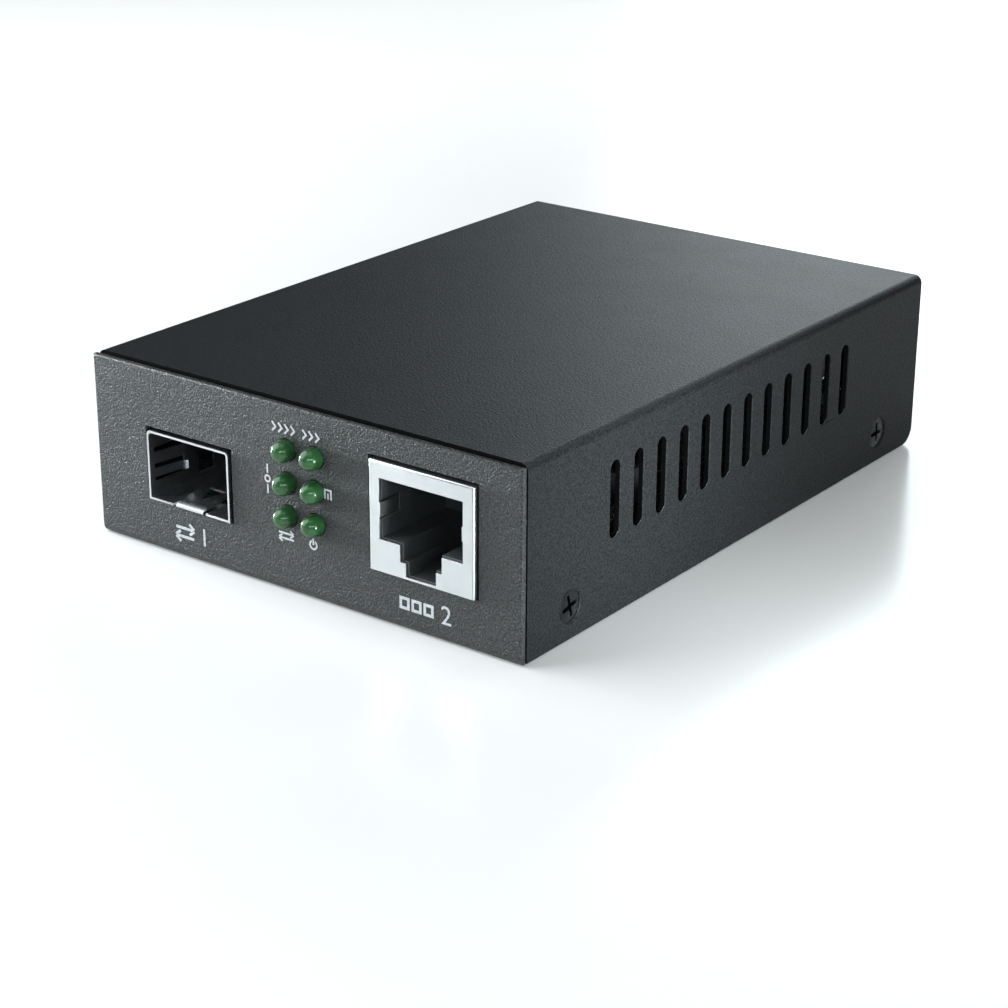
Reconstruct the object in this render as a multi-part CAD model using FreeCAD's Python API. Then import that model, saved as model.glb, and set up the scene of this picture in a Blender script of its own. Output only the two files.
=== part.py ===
import FreeCAD, Part
import math
import os

# Fibre media converter in a small steel case, in millimetres.
# Frame: +X to the right of the front panel, +Y to the rear, +Z up.
# Origin: middle of the underside, where the flat floor rests.

# Case
case_width = 71.0
case_depth = 99.0
case_height = 26.0
sheet = 0.8                   # steel of the cover and the chassis
fold_inside = 0.4             # inside radius of every fold
panel_edge_radius = 0.3       # softened front edges of the front panel
panel_drop = 0.4              # top of the front panel below the top of the cover
panel_seam = 0.35             # front panel to the front edges of the cover
cover_play = 0.12             # cover to the chassis walls inside it
cover_lift = 0.2              # lower edges of the cover above the resting plane
rear_recess = 0.3             # rear wall of the chassis inside the cover's end
cover_corner_radius = 2.5     # rear lower corners of the cover's sides

# Cooling slots in both sides of the cover
slot_count = 12
slot_pitch = 5.21
slot_width = 2.1
slot_length = 10.4
slot_first = 19.5             # first slot behind the front face
slot_height = 15.8            # middle of the slots above the resting plane
slot_edge_break = 0.12

# Chassis flanges and the four screws that hold the cover
flange_height = 8.6
flange_relief = 2.0           # end of a flange to the front or rear wall
screw_radius = 1.5
screw_head_radius = 2.4
screw_head_depth = 0.75
screw_length = 4.0
screw_height = 4.6
screw_front = 10.2            # front screws behind the front face
screw_rear = 11.0             # rear screws in front of the rear end
screw_play = 0.05             # screw to its thread or countersink, on the radius
cross_width = 0.55
cross_span = 2.8
cross_depth = 0.55

# Board, its standoffs and screws
board_thickness = 1.6
board_side_gap = 0.3          # board to the tips of the case screws
board_front_gap = 0.5         # board to the front panel
board_rear_gap = 1.9          # board to the rear wall
board_corner_radius = 1.5
standoff_height = 4.9
standoff_radius = 2.75
standoff_shank_radius = 2.1
standoff_play = 0.05
standoff_side = 4.2           # outer standoffs inside the board's edges
standoff_front = 26.2         # front standoffs behind the board's front edge
standoff_rear = 6.0           # rear standoffs in front of the board's rear edge
standoff_middle_x = -7.0      # front standoff between the cage and the lamps
board_screw_head_radius = 2.7
board_screw_crown = 0.6
board_screw_head_height = 1.9
board_screw_length = 6.0
board_screw_play = 0.2        # screw to the hole in the board, on the radius
lead_play = 0.12              # lead or peg to its hole in the board, on each side

# Cage for the pluggable fibre module
cage_side = 16.88             # middle of the cage inside the case's left side
cage_width = 14.5
cage_height = 9.75
cage_length = 48.0
cage_sheet = 0.3
cage_corner_inside = 0.4
cage_proud = 0.3              # cage in front of the front panel
cage_floor_length = 33.0
cage_pin_width = 0.9
cage_pin_count = 5            # on each side
cage_pin_first = 9.0
cage_pin_pitch = 8.5
tongue_width = 4.9
tongue_slit = 0.5
tongue_rise = 1.1
tongue_peak = 7.5             # from the cage's mouth
tongue_root = 12.0
catch_width = 3.0             # triangular catch hole in the tongue
catch_front = 2.4
catch_rear = 5.6
finger_window_front = 0.9     # window with spring fingers in each side
finger_window_length = 5.6
finger_window_low = 2.2
finger_window_high = 7.0
finger_bands = [(2.8, 4.0), (4.7, 6.3)]
finger_gap = 0.5              # free end of a finger to the window
finger_bend = 0.35
side_window_front = 9.2
side_window_length = 3.0
side_window_low = 0.9
side_window_high = 4.0
cage_cut_side = 0.4           # cage to its cut-out in the panel
cage_cut_top = 0.45
cage_cut_bottom = 0.1

# Connector inside the cage
plug_width = 11.6
plug_depth = 8.8
plug_height = 5.9
plug_front = 36.0             # from the cage's mouth
plug_slot_width = 9.6
plug_slot_height = 1.4
plug_slot_centre = 3.6
plug_slot_depth = 6.4
plug_contact_count = 10       # in each of the two rows
plug_contact_pitch = 0.8
plug_contact_width = 0.3
plug_contact_thickness = 0.2
plug_contact_inset = 1.2      # front ends behind the connector's mouth
plug_contact_foot = 0.9
plug_contact_groove = 0.6     # upright groove in the connector's back

# Copper jack
jack_side = 14.95             # middle of the jack inside the case's right side
jack_width = 16.3
jack_height = 14.6
jack_depth = 18.0
jack_sheet = 0.3
jack_proud = 0.5
jack_cut_side = 0.4
jack_cut_top = 0.45
jack_cut_bottom = 0.1
jack_play = 0.05              # moulding inside its metal shell
port_width = 13.0
port_floor = 4.35             # levels of the port's outline, from the board
port_top = 12.45
latch_width = 6.5
latch_floor = 2.1
key_width = 4.7
key_floor = 0.3
port_ledge = 0.2              # moulding inside the edge of the shell's opening
port_depth = 12.6
leaf_low = 7.3                # side leaf springs folded in at the opening
leaf_high = 9.2
leaf_length = 3.5
leaf_bend = 0.15
jack_rear_pocket = 3.6
jack_peg_radius = 1.6
jack_peg_spacing = 11.4
jack_peg_back = 9.0           # pegs behind the jack's face
jack_tab_width = 1.6
jack_tab_back = 12.5
contact_count = 8
contact_pitch = 1.02
contact_width = 0.4
contact_thickness = 0.35
contact_groove = 0.62
contact_nose = 3.2            # front bend behind the jack's face
contact_tip_back = 10.0
contact_tip_drop = 3.0        # free end below the port's ceiling
contact_run_drop = 0.9        # upper run below the moulding's top
contact_row_rear = 1.2        # legs in front of the shell's rear wall
contact_row_step = 1.5

# Indicator lamps, in two columns of three
lamp_x = 0.97
lamp_column_pitch = 4.65
lamp_row_pitch = 4.5
lamp_first_row = 3.42         # lowest row above the board
lamp_rows = 3
lamp_radius = 1.45
lamp_proud = 2.4
lamp_length = 5.9
lamp_rim_radius = 1.9
lamp_rim_length = 0.9
lamp_play = 0.1
lamp_lead = 0.45
lamp_lead_spacing = 2.54
lamp_lead_first = 1.6         # lowest row's bend behind the rim
lamp_lead_step = 1.8
holder_wall = 1.5
holder_gusset = 1.2
holder_gusset_length = 7.5
holder_peg_radius = 0.7

# Power inlet at the rear
inlet_side = 19.5             # socket's axis inside the case's right side
inlet_width = 9.0
inlet_height = 11.0
inlet_depth = 14.2
inlet_edge_radius = 1.0
inlet_axis = 6.5              # socket's axis above the board
inlet_bore_radius = 3.15
inlet_bore_depth = 9.6
inlet_pin_radius = 1.0
inlet_pin_root = 1.4          # radius of the pin's root inside the moulding
inlet_pin_recess = 1.2
inlet_pin_nose = 0.6
inlet_cut = 0.25              # inlet to its cut-out in the rear wall
inlet_pocket = 1.6
inlet_blade_width = 2.4
inlet_blade = 0.8
inlet_spring_width = 2.2
inlet_spring_thickness = 0.3
inlet_spring_bow = 0.35
inlet_play = 0.05

# Parts on the board: back is the middle's distance behind the front face, ahead in front of the rear end,
# and side inside the nearer side of the case
leg_below = 1.2               # legs stand out under the board
chip_x = 2.0
chip_back = 48.5
chip_size = 14.0
chip_height = 1.4
chip_lift = 0.1
chip_edge = 0.2
chip_leads_per_side = 16
chip_lead_pitch = 0.8
chip_lead_width = 0.35
coil_side = 15.0
coil_back = 37.0
coil_length = 12.7
coil_width = 7.0
coil_height = 5.2
coil_leads_per_side = 12
coil_lead_pitch = 1.0
coil_lead_width = 0.4
memory_side = 15.0
memory_back = 52.5
memory_length = 4.9
memory_width = 3.9
memory_height = 1.4
memory_leads_per_side = 4
memory_lead_pitch = 1.27
memory_lead_width = 0.4
regulator_side = 15.5
regulator_back = 57.5
regulator_length = 6.5
regulator_width = 3.5
regulator_height = 1.6
regulator_lead_pitch = 2.3
regulator_lead_width = 0.7
regulator_tab_width = 3.0
crystal_x = 2.0
crystal_back = 32.5
crystal_length = 11.0
crystal_width = 4.6
crystal_height = 3.5
crystal_rim = 0.4
crystal_lead_spacing = 4.9
choke_x = -8.0
choke_ahead = 24.5
choke_size = 7.0
choke_height = 4.5
choke_core_radius = 2.6
choke_flange = 0.9
choke_gap = 0.15
choke_wire_radius = 3.1
choke_corner = 0.8
diode_x = 6.0
diode_ahead = 23.5
diode_length = 4.4
diode_width = 2.6
diode_height = 2.1
diode_tab = 1.4
diode_tab_thickness = 0.2
input_can_x = 2.0
input_can_ahead = 13.5
input_can_radius = 4.0
input_can_height = 11.5
output_can_side = 15.5
output_can_ahead = 21.5
output_can_radius = 3.15
output_can_height = 9.0
can_lead_radius = 0.3
can_edge_radius = 0.4
can_leg_share = 0.4           # of the can's radius, from its axis to each leg
can_groove = 0.3
can_groove_height = 1.6
chip_part_length = 1.6
chip_part_width = 0.8
chip_part_height = 0.5
chip_part_count = 6           # in each row beside the chip
chip_part_pitch = 2.4
chip_part_gap = 1.4

lead_thickness = 0.15
lead_shoulder = 0.5
lead_foot = 0.9
lead_reach = lead_shoulder + lead_foot

# Places worked out from the sizes above
left_x = -case_width / 2
right_x = case_width / 2
front_y = -case_depth / 2
rear_y = case_depth / 2
panel_back_y = front_y + sheet
cover_front_y = panel_back_y + panel_seam
chassis_rear_y = rear_y - rear_recess
rear_inner_y = chassis_rear_y - sheet
chassis_half = right_x - sheet - cover_play
panel_top = case_height - panel_drop
rear_wall_top = case_height - sheet - panel_drop
fold_outside = fold_inside + sheet
board_half_width = right_x - screw_length - board_side_gap
board_bottom = sheet + standoff_height
board_top = board_bottom + board_thickness
board_front_y = panel_back_y + board_front_gap
board_rear_y = rear_inner_y - board_rear_gap
cage_x = left_x + cage_side
cage_front_y = front_y - cage_proud
cage_rear_y = cage_front_y + cage_length
cage_top = board_top + cage_height
jack_x = right_x - jack_side
jack_front_y = front_y - jack_proud
jack_rear_y = jack_front_y + jack_depth
jack_top = board_top + jack_height
inlet_x = right_x - inlet_side
inlet_rear_y = chassis_rear_y
inlet_front_y = inlet_rear_y - inlet_depth
inlet_axis_z = board_top + inlet_axis
lamp_tip_y = front_y - lamp_proud
lamp_back_y = lamp_tip_y + lamp_length
screw_places = [front_y + screw_front, rear_y - screw_rear]
slot_places = [front_y + slot_first + i * slot_pitch for i in range(slot_count)]
lamp_places = [
    (lamp_x + (column - 0.5) * lamp_column_pitch, board_top + lamp_first_row + row * lamp_row_pitch, row)
    for row in reversed(range(lamp_rows))
    for column in range(2)
]
leg_bottom = board_bottom - leg_below
standoff_outer_x = board_half_width - standoff_side
standoff_front_y = board_front_y + standoff_front
standoff_rear_y = board_rear_y - standoff_rear
standoff_places = [(standoff_middle_x, standoff_front_y), (standoff_outer_x, standoff_front_y),
                   (-standoff_outer_x, standoff_rear_y), (standoff_outer_x, standoff_rear_y)]
chip_place = (chip_x, front_y + chip_back)
coil_place = (right_x - coil_side, front_y + coil_back)
memory_place = (right_x - memory_side, front_y + memory_back)
regulator_place = (left_x + regulator_side, front_y + regulator_back)
crystal_place = (crystal_x, front_y + crystal_back)
choke_place = (choke_x, rear_y - choke_ahead)
diode_place = (diode_x, rear_y - diode_ahead)
input_can_place = (input_can_x, rear_y - input_can_ahead)
output_can_place = (left_x + output_can_side, rear_y - output_can_ahead)

X_AXIS = FreeCAD.Vector(1, 0, 0)
Y_AXIS = FreeCAD.Vector(0, 1, 0)
Z_AXIS = FreeCAD.Vector(0, 0, 1)
ORIGIN = FreeCAD.Vector(0, 0, 0)
slack = 1e-4


def box(x0, x1, y0, y1, z0, z1):
    return Part.makeBox(x1 - x0, y1 - y0, z1 - z0, FreeCAD.Vector(x0, y0, z0))


def rod(radius, start, end):
    span = FreeCAD.Vector(*end) - FreeCAD.Vector(*start)
    return Part.makeCylinder(radius, span.Length, FreeCAD.Vector(*start), span)


def prism(points, direction):
    """Closed flat outline pushed along a vector."""
    corners = [FreeCAD.Vector(*point) for point in points]
    return Part.Face(Part.makePolygon(corners + corners[:1])).extrude(FreeCAD.Vector(*direction))


def strip(path, thickness, width, x):
    """Flat spring or leg of constant thickness that follows a path in the YZ plane."""
    left = []
    right = []
    for i, (y, z) in enumerate(path):
        before = path[max(i - 1, 0)]
        after = path[min(i + 1, len(path) - 1)]
        ahead = [unit((before[0], before[1]), (y, z)), unit((y, z), (after[0], after[1]))]
        ahead = [step for step in ahead if step is not None]
        tangent = (sum(step[0] for step in ahead), sum(step[1] for step in ahead))
        length = math.hypot(*tangent)
        normal = (-tangent[1] / length, tangent[0] / length)
        reach = thickness / 2 / (normal[0] * -ahead[0][1] + normal[1] * ahead[0][0])
        left.append((x - width / 2, y + normal[0] * reach, z + normal[1] * reach))
        right.append((x - width / 2, y - normal[0] * reach, z - normal[1] * reach))
    return prism(left + right[::-1], (width, 0, 0))


def unit(start, end):
    length = math.hypot(end[0] - start[0], end[1] - start[1])
    return ((end[0] - start[0]) / length, (end[1] - start[1]) / length) if length > 0 else None


def fused(shapes):
    shapes = list(shapes)
    return shapes[0].fuse(shapes[1:]).removeSplitter() if len(shapes) > 1 else shapes[0]


def holed(shape, cutters):
    return shape.cut(Part.makeCompound(list(cutters)))


def edges_within(shape, x=None, y=None, z=None):
    """Edges whose box lies inside the given ranges."""
    found = []
    for edge in shape.Edges:
        bounds = edge.BoundBox
        spans = [(x, bounds.XMin, bounds.XMax), (y, bounds.YMin, bounds.YMax), (z, bounds.ZMin, bounds.ZMax)]
        if all(want is None or (low >= want[0] - slack and high <= want[1] + slack)
               for want, low, high in spans):
            found.append(edge)
    return found


def save(name, shape):
    solids = shape.Solids
    result = solids[0] if len(solids) == 1 else Part.makeCompound(solids)
    result.exportStep("parts/" + name + ".step")


def trough(width, length, height):
    """Sheet with both long sides folded up: runs along Y from 0, underside at z = 0."""
    outer = box(-width / 2, width / 2, 0, length, 0, height)
    outer = outer.makeFillet(fold_outside, long_bottom_edges(outer, length))
    inner = box(-width / 2 + sheet, width / 2 - sheet, 0, length, sheet, height)
    inner = inner.makeFillet(fold_inside, long_bottom_edges(inner, length))
    return outer.cut(inner)


def long_bottom_edges(shape, length):
    low = shape.BoundBox.ZMin
    edges = edges_within(shape, z=(low, low))
    return [edge for edge in edges if abs(edge.BoundBox.YLength - length) < slack]


def cross_recess(face, inward):
    """Cross recess cut from a screw's face, where inward is the screw's axis."""
    arms = []
    for width, span in ((cross_width, cross_span), (cross_span, cross_width)):
        arms.append(box(-width / 2, width / 2, -span / 2, span / 2, 0, cross_depth))
    cross = fused(arms)
    turn = FreeCAD.Rotation(Z_AXIS, FreeCAD.Vector(*inward))
    cross.Placement = FreeCAD.Placement(FreeCAD.Vector(*face), turn)
    return cross


# --- Case ---

def slot_cutter(y):
    half = slot_length / 2 - slot_width / 2
    span = (-case_width, case_width)
    middle = box(*span, y - slot_width / 2, y + slot_width / 2, slot_height - half, slot_height + half)
    ends = [rod(slot_width / 2, (span[0], y, slot_height + s * half), (span[1], y, slot_height + s * half))
            for s in (-1, 1)]
    return fused([middle] + ends)


def countersink(side, y):
    outer = side * right_x
    inward = FreeCAD.Vector(-side, 0, 0)
    mouth = FreeCAD.Vector(outer, y, screw_height)
    bore = screw_radius + screw_play
    cone = Part.makeCone(screw_head_radius + screw_play, bore, screw_head_depth, mouth, inward)
    return fused([cone, Part.makeCylinder(bore, 2 * sheet, mouth, inward)])


def top_cover():
    length = rear_y - cover_front_y
    cover = trough(case_width, length, case_height - cover_lift)
    cover.rotate(ORIGIN, Y_AXIS, 180)
    cover.translate(FreeCAD.Vector(0, cover_front_y, case_height))
    corners = edges_within(cover, y=(rear_y, rear_y), z=(cover_lift, cover_lift))
    cover = cover.makeFillet(cover_corner_radius, corners)
    cover = holed(cover, [slot_cutter(y) for y in slot_places])
    rims = []
    for x in (left_x, right_x):
        rims += edges_within(cover, x=(x, x), y=(slot_places[0] - slot_width, slot_places[-1] + slot_width),
                             z=(slot_height - slot_length / 2, slot_height + slot_length / 2))
    cover = cover.makeChamfer(slot_edge_break, rims)
    return holed(cover, [countersink(side, y) for side in (-1, 1) for y in screw_places])


def front_cutouts():
    through = (front_y - 1, panel_back_y + 1)
    cage = box(cage_x - cage_width / 2 - cage_cut_side, cage_x + cage_width / 2 + cage_cut_side, *through,
               board_top - cage_cut_bottom, cage_top + cage_cut_top)
    jack = box(jack_x - jack_width / 2 - jack_cut_side, jack_x + jack_width / 2 + jack_cut_side, *through,
               board_top - jack_cut_bottom, jack_top + jack_cut_top)
    lamps = [rod(lamp_radius + lamp_play, (x, through[0], z), (x, through[1], z))
             for x, z, row in lamp_places]
    return [cage, jack] + lamps


def chassis():
    depth = chassis_rear_y - front_y
    walls = trough(depth, case_width, panel_top)
    walls.rotate(ORIGIN, Z_AXIS, -90)
    walls.translate(FreeCAD.Vector(left_x, front_y + depth / 2, 0))
    envelope = box(left_x, right_x, front_y, chassis_rear_y, 0, panel_top)
    for y in (front_y, chassis_rear_y):
        envelope = envelope.makeFillet(fold_outside, edges_within(envelope, y=(y, y), z=(0, 0)))
    rim = edges_within(envelope, y=(front_y, front_y), z=(panel_top, panel_top))
    for x in (left_x, right_x):
        rim += edges_within(envelope, x=(x, x), y=(front_y, front_y + fold_outside))
    walls = walls.common(envelope.makeFillet(panel_edge_radius, rim))
    behind = (panel_back_y, rear_y)
    beyond = case_width
    cutters = [box(chassis_half, beyond, *behind, -1, case_height),
               box(-beyond, -chassis_half, *behind, -1, case_height)]
    cutters.append(box(-beyond, beyond, rear_inner_y - 1, rear_y, rear_wall_top, case_height))
    walls = holed(walls, cutters)
    flange_start = panel_back_y + flange_relief
    flange_end = rear_inner_y - flange_relief
    flanges = trough(2 * chassis_half, flange_end - flange_start, flange_height)
    flanges.translate(FreeCAD.Vector(0, flange_start, 0))
    corner = box(chassis_half - fold_outside, chassis_half, flange_start, flange_end, 0, fold_outside)
    mirrored = corner.mirror(ORIGIN, X_AXIS)
    body = fused([holed(walls, [corner, mirrored]), flanges])
    beside = chassis_half + 1
    threads = [rod(screw_radius + screw_play, (-beside, y, screw_height), (beside, y, screw_height))
               for y in screw_places]
    seats = [rod(standoff_shank_radius + standoff_play, (x, y, -1), (x, y, sheet + 1))
             for x, y in standoff_places]
    inlet = box(inlet_x - inlet_width / 2 - inlet_cut, inlet_x + inlet_width / 2 + inlet_cut,
                rear_inner_y - 1, rear_y, board_top - inlet_cut, board_top + inlet_height + inlet_cut)
    return holed(body, front_cutouts() + threads + seats + [inlet])


def case_screw(side, y):
    mouth = FreeCAD.Vector(side * right_x, y, screw_height)
    inward = FreeCAD.Vector(-side, 0, 0)
    head = Part.makeCone(screw_head_radius, screw_radius, screw_head_depth, mouth, inward)
    shank = Part.makeCylinder(screw_radius, screw_length, mouth, inward)
    return fused([head, shank]).cut(cross_recess(mouth, inward))


# --- Board and what holds it ---

def standoff(x, y):
    barrel = fused([
        rod(standoff_radius, (x, y, sheet), (x, y, board_bottom)),
        rod(standoff_shank_radius, (x, y, 0), (x, y, sheet)),
    ])
    return barrel.cut(rod(screw_radius + screw_play, (x, y, -1), (x, y, board_bottom + 1)))


def board_screw(x, y):
    head = rod(board_screw_head_radius, (x, y, board_top), (x, y, board_top + board_screw_head_height))
    crown = edges_within(head, z=(head.BoundBox.ZMax, head.BoundBox.ZMax))
    head = head.makeFillet(board_screw_crown, crown)
    shank = rod(screw_radius, (x, y, board_top - board_screw_length), (x, y, board_top))
    return fused([head, shank]).cut(cross_recess((x, y, board_top + board_screw_head_height), (0, 0, -1)))


def board_hole(x, y, radius):
    return rod(radius, (x, y, board_bottom - 1), (x, y, board_top + 1))


def board_slot(x0, x1, y0, y1):
    return box(x0 - lead_play, x1 + lead_play, y0 - lead_play, y1 + lead_play,
               board_bottom - 1, board_top + 1)


def circuit_board():
    board = box(-board_half_width, board_half_width, board_front_y, board_rear_y, board_bottom, board_top)
    upright = [edge for edge in board.Edges if edge.BoundBox.ZLength > board_thickness / 2]
    board = board.makeFillet(board_corner_radius, upright)
    holes = [board_hole(x, y, screw_radius + board_screw_play) for x, y in standoff_places]
    holes += [board_slot(*place) for place in cage_pin_places() + jack_tab_places() + inlet_leg_places()]
    holes += [board_hole(x, y, jack_peg_radius + lead_play) for x, y in jack_peg_places()]
    holes += [board_hole(x, y, holder_peg_radius + lead_play) for x, y in holder_peg_places()]
    holes += [board_slot(x - contact_width / 2, x + contact_width / 2, y - contact_thickness / 2,
                         y + contact_thickness / 2) for x, y in contact_leg_places()]
    half = lamp_lead / 2
    holes += [board_slot(x - half, x + half, y - half, y + half) for x, y in lamp_leg_places()]
    wire_places = can_leg_places() + crystal_leg_places()
    holes += [board_hole(x, y, can_lead_radius + lead_play) for x, y in wire_places]
    return holed(board, holes)


# --- Cage and its connector ---

def cage_pin_places():
    places = []
    for i in range(cage_pin_count):
        y = cage_front_y + cage_pin_first + i * cage_pin_pitch
        for side in (-1, 1):
            outer = cage_x + side * cage_width / 2
            inner = outer - side * cage_sheet
            places.append((min(outer, inner), max(outer, inner),
                           y - cage_pin_width / 2, y + cage_pin_width / 2))
    return places


def cage_fingers(side):
    """Spring fingers of one side, rooted at the front edge of the window and bent inwards."""
    outer = cage_x + side * cage_width / 2
    inner = outer - side * cage_sheet
    root = cage_front_y + finger_window_front - cage_sheet
    tip = cage_front_y + finger_window_front + finger_window_length - finger_gap
    bend = -side * finger_bend
    fingers = []
    for low, high in finger_bands:
        outline = [(outer, root), (inner, root), (inner, root + cage_sheet), (inner + bend, tip),
                   (outer + bend, tip), (outer, root + cage_sheet)]
        fingers.append(prism([(x, y, board_top + low) for x, y in outline], (0, 0, high - low)))
    return fingers


def cage_tongue():
    """Latch tongue: free at the mouth, rising to a peak, rooted in the cage's floor."""
    root = cage_front_y + tongue_root
    path = [(cage_front_y, board_top), (cage_front_y + tongue_peak, board_top + tongue_rise),
            (root, board_top), (root + cage_sheet, board_top)]
    low = [(cage_x - tongue_width / 2, y, z) for y, z in path]
    high = [(x, y, z + cage_sheet) for x, y, z in low]
    tongue = prism(low + high[::-1], (tongue_width, 0, 0))
    front = cage_front_y + catch_front
    rear = cage_front_y + catch_rear
    catch = prism([(cage_x, front, board_top), (cage_x + catch_width / 2, rear, board_top),
                   (cage_x - catch_width / 2, rear, board_top)], (0, 0, tongue_rise + cage_sheet))
    return tongue.cut(catch)


def sfp_cage():
    left = cage_x - cage_width / 2
    right = cage_x + cage_width / 2
    outer = box(left, right, cage_front_y, cage_rear_y, board_top, cage_top)
    outer = outer.makeFillet(cage_corner_inside + cage_sheet, long_top_edges(outer, cage_length))
    inner = box(left + cage_sheet, right - cage_sheet, cage_front_y, cage_rear_y - cage_sheet,
                board_top + cage_sheet, cage_top - cage_sheet)
    inner = inner.makeFillet(cage_corner_inside, long_top_edges(inner, cage_length - cage_sheet))
    cutters = [inner]
    cutters.append(box(left + cage_sheet, right - cage_sheet, cage_front_y + cage_floor_length,
                       cage_rear_y - cage_sheet, board_top - 1, board_top + 1))
    half = tongue_width / 2 + tongue_slit
    cutters.append(box(cage_x - half, cage_x + half, cage_front_y - 1, cage_front_y + tongue_root,
                       board_top - 1, board_top + 2 * cage_sheet))
    for front, length, low, high in (
        (finger_window_front, finger_window_length, finger_window_low, finger_window_high),
        (side_window_front, side_window_length, side_window_low, side_window_high),
    ):
        start = cage_front_y + front
        for x in (left, right - cage_sheet):
            cutters.append(box(x - cage_sheet, x + 2 * cage_sheet, start, start + length,
                               board_top + low, board_top + high))
    shell = holed(outer, cutters)
    pins = [box(x0, x1, y0, y1, leg_bottom + leg_below / 2, board_top + cage_sheet)
            for x0, x1, y0, y1 in cage_pin_places()]
    return fused([shell, cage_tongue()] + cage_fingers(-1) + cage_fingers(1) + pins)


def long_top_edges(shape, length):
    high = shape.BoundBox.ZMax
    edges = edges_within(shape, z=(high, high))
    return [edge for edge in edges if abs(edge.BoundBox.YLength - length) < slack]


def plug_contact_lines():
    first = cage_x - (plug_contact_count - 1) / 2 * plug_contact_pitch
    return [first + i * plug_contact_pitch for i in range(plug_contact_count)]


def plug_contact_levels():
    half = plug_slot_height / 2 - plug_contact_thickness / 2
    return [(board_top + plug_slot_centre + half, 1), (board_top + plug_slot_centre - half, -1)]


def sfp_connector():
    front = cage_front_y + plug_front
    back = front + plug_depth
    reach = plug_width / 2
    body = box(cage_x - reach, cage_x + reach, front, back, board_top, board_top + plug_height)
    middle = board_top + plug_slot_centre
    half = plug_slot_width / 2
    mouth = box(cage_x - half, cage_x + half, front - 1, front + plug_slot_depth,
                middle - plug_slot_height / 2, middle + plug_slot_height / 2)
    grooves = []
    half = plug_contact_width / 2 + jack_play
    for x in plug_contact_lines():
        for level, side in plug_contact_levels():
            far = level + side * (plug_contact_thickness / 2 + jack_play)
            near = level - side * plug_contact_thickness
            grooves.append(box(x - half, x + half, front + plug_contact_inset - jack_play, back + 1,
                               min(far, near), max(far, near)))
        grooves.append(box(x - half, x + half, back - plug_contact_groove, back + 1,
                           board_top - 1, middle + plug_slot_height / 2))
    return holed(body, [mouth] + grooves)


def sfp_connector_contacts():
    front = cage_front_y + plug_front
    back = front + plug_depth
    contacts = []
    for x in plug_contact_lines():
        for level, side in plug_contact_levels():
            drop = back + side * plug_contact_thickness / 2 - (side < 0) * plug_contact_groove / 2
            foot = board_top + plug_contact_thickness / 2
            path = [(front + plug_contact_inset, level), (drop, level)]
            path += [(drop, foot), (drop + plug_contact_foot, foot)] if side > 0 else []
            contacts.append(strip(path, plug_contact_thickness, plug_contact_width, x))
    return Part.makeCompound(contacts)


# --- Copper jack ---

def port_outline(inset, y):
    """Stepped outline of the port, with its latch notch below, moved inwards by inset."""
    steps = [(port_width / 2 - inset, port_top - inset, port_floor + inset),
             (latch_width / 2 - inset, port_floor + inset, latch_floor + inset),
             (key_width / 2 - inset, latch_floor + inset, key_floor + inset)]
    right = []
    for half, top, floor in steps:
        right += [(half, top), (half, floor)]
    points = right + [(-half, level) for half, level in reversed(right)]
    return [(jack_x + x, y, board_top + z) for x, z in points]


def jack_peg_places():
    y = jack_front_y + jack_peg_back
    return [(jack_x - jack_peg_spacing / 2, y), (jack_x + jack_peg_spacing / 2, y)]


def jack_tab_places():
    y = jack_front_y + jack_tab_back
    places = []
    for side in (-1, 1):
        outer = jack_x + side * jack_width / 2
        inner = outer - side * jack_sheet
        places.append((min(outer, inner), max(outer, inner), y - jack_tab_width / 2, y + jack_tab_width / 2))
    return places


def contact_lines():
    first = jack_x - (contact_count - 1) / 2 * contact_pitch
    return [first + i * contact_pitch for i in range(contact_count)]


def contact_leg_y(index):
    return jack_rear_y - jack_sheet - contact_row_rear - contact_row_step * (index % 2)


def contact_leg_places():
    return [(x, contact_leg_y(i)) for i, x in enumerate(contact_lines())]


def rj45_shield():
    left = jack_x - jack_width / 2
    right = jack_x + jack_width / 2
    outer = box(left, right, jack_front_y, jack_rear_y, board_top, jack_top)
    inner = box(left + jack_sheet, right - jack_sheet, jack_front_y + jack_sheet, jack_rear_y - jack_sheet,
                board_top - 1, jack_top - jack_sheet)
    opening = prism(port_outline(0, jack_front_y - 1), (0, 1 + 2 * jack_sheet, 0))
    shell = holed(outer, [inner, opening])
    leaves = []
    for side in (-1, 1):
        edge = jack_x + side * port_width / 2
        outline = [(edge + side * jack_sheet, jack_front_y), (edge - side * leaf_bend, jack_front_y),
                   (edge - side * 2 * leaf_bend, jack_front_y + leaf_length / 2),
                   (edge - side * leaf_bend, jack_front_y + leaf_length),
                   (edge + side * leaf_bend, jack_front_y + leaf_length),
                   (edge, jack_front_y + leaf_length / 2),
                   (edge + side * leaf_bend, jack_front_y + jack_sheet),
                   (edge + side * jack_sheet, jack_front_y + jack_sheet)]
        leaves.append(prism([(x, y, board_top + leaf_low) for x, y in outline], (0, 0, leaf_high - leaf_low)))
    tabs = [box(x0, x1, y0, y1, leg_bottom, board_top + jack_sheet) for x0, x1, y0, y1 in jack_tab_places()]
    return fused([shell] + leaves + tabs)


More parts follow.
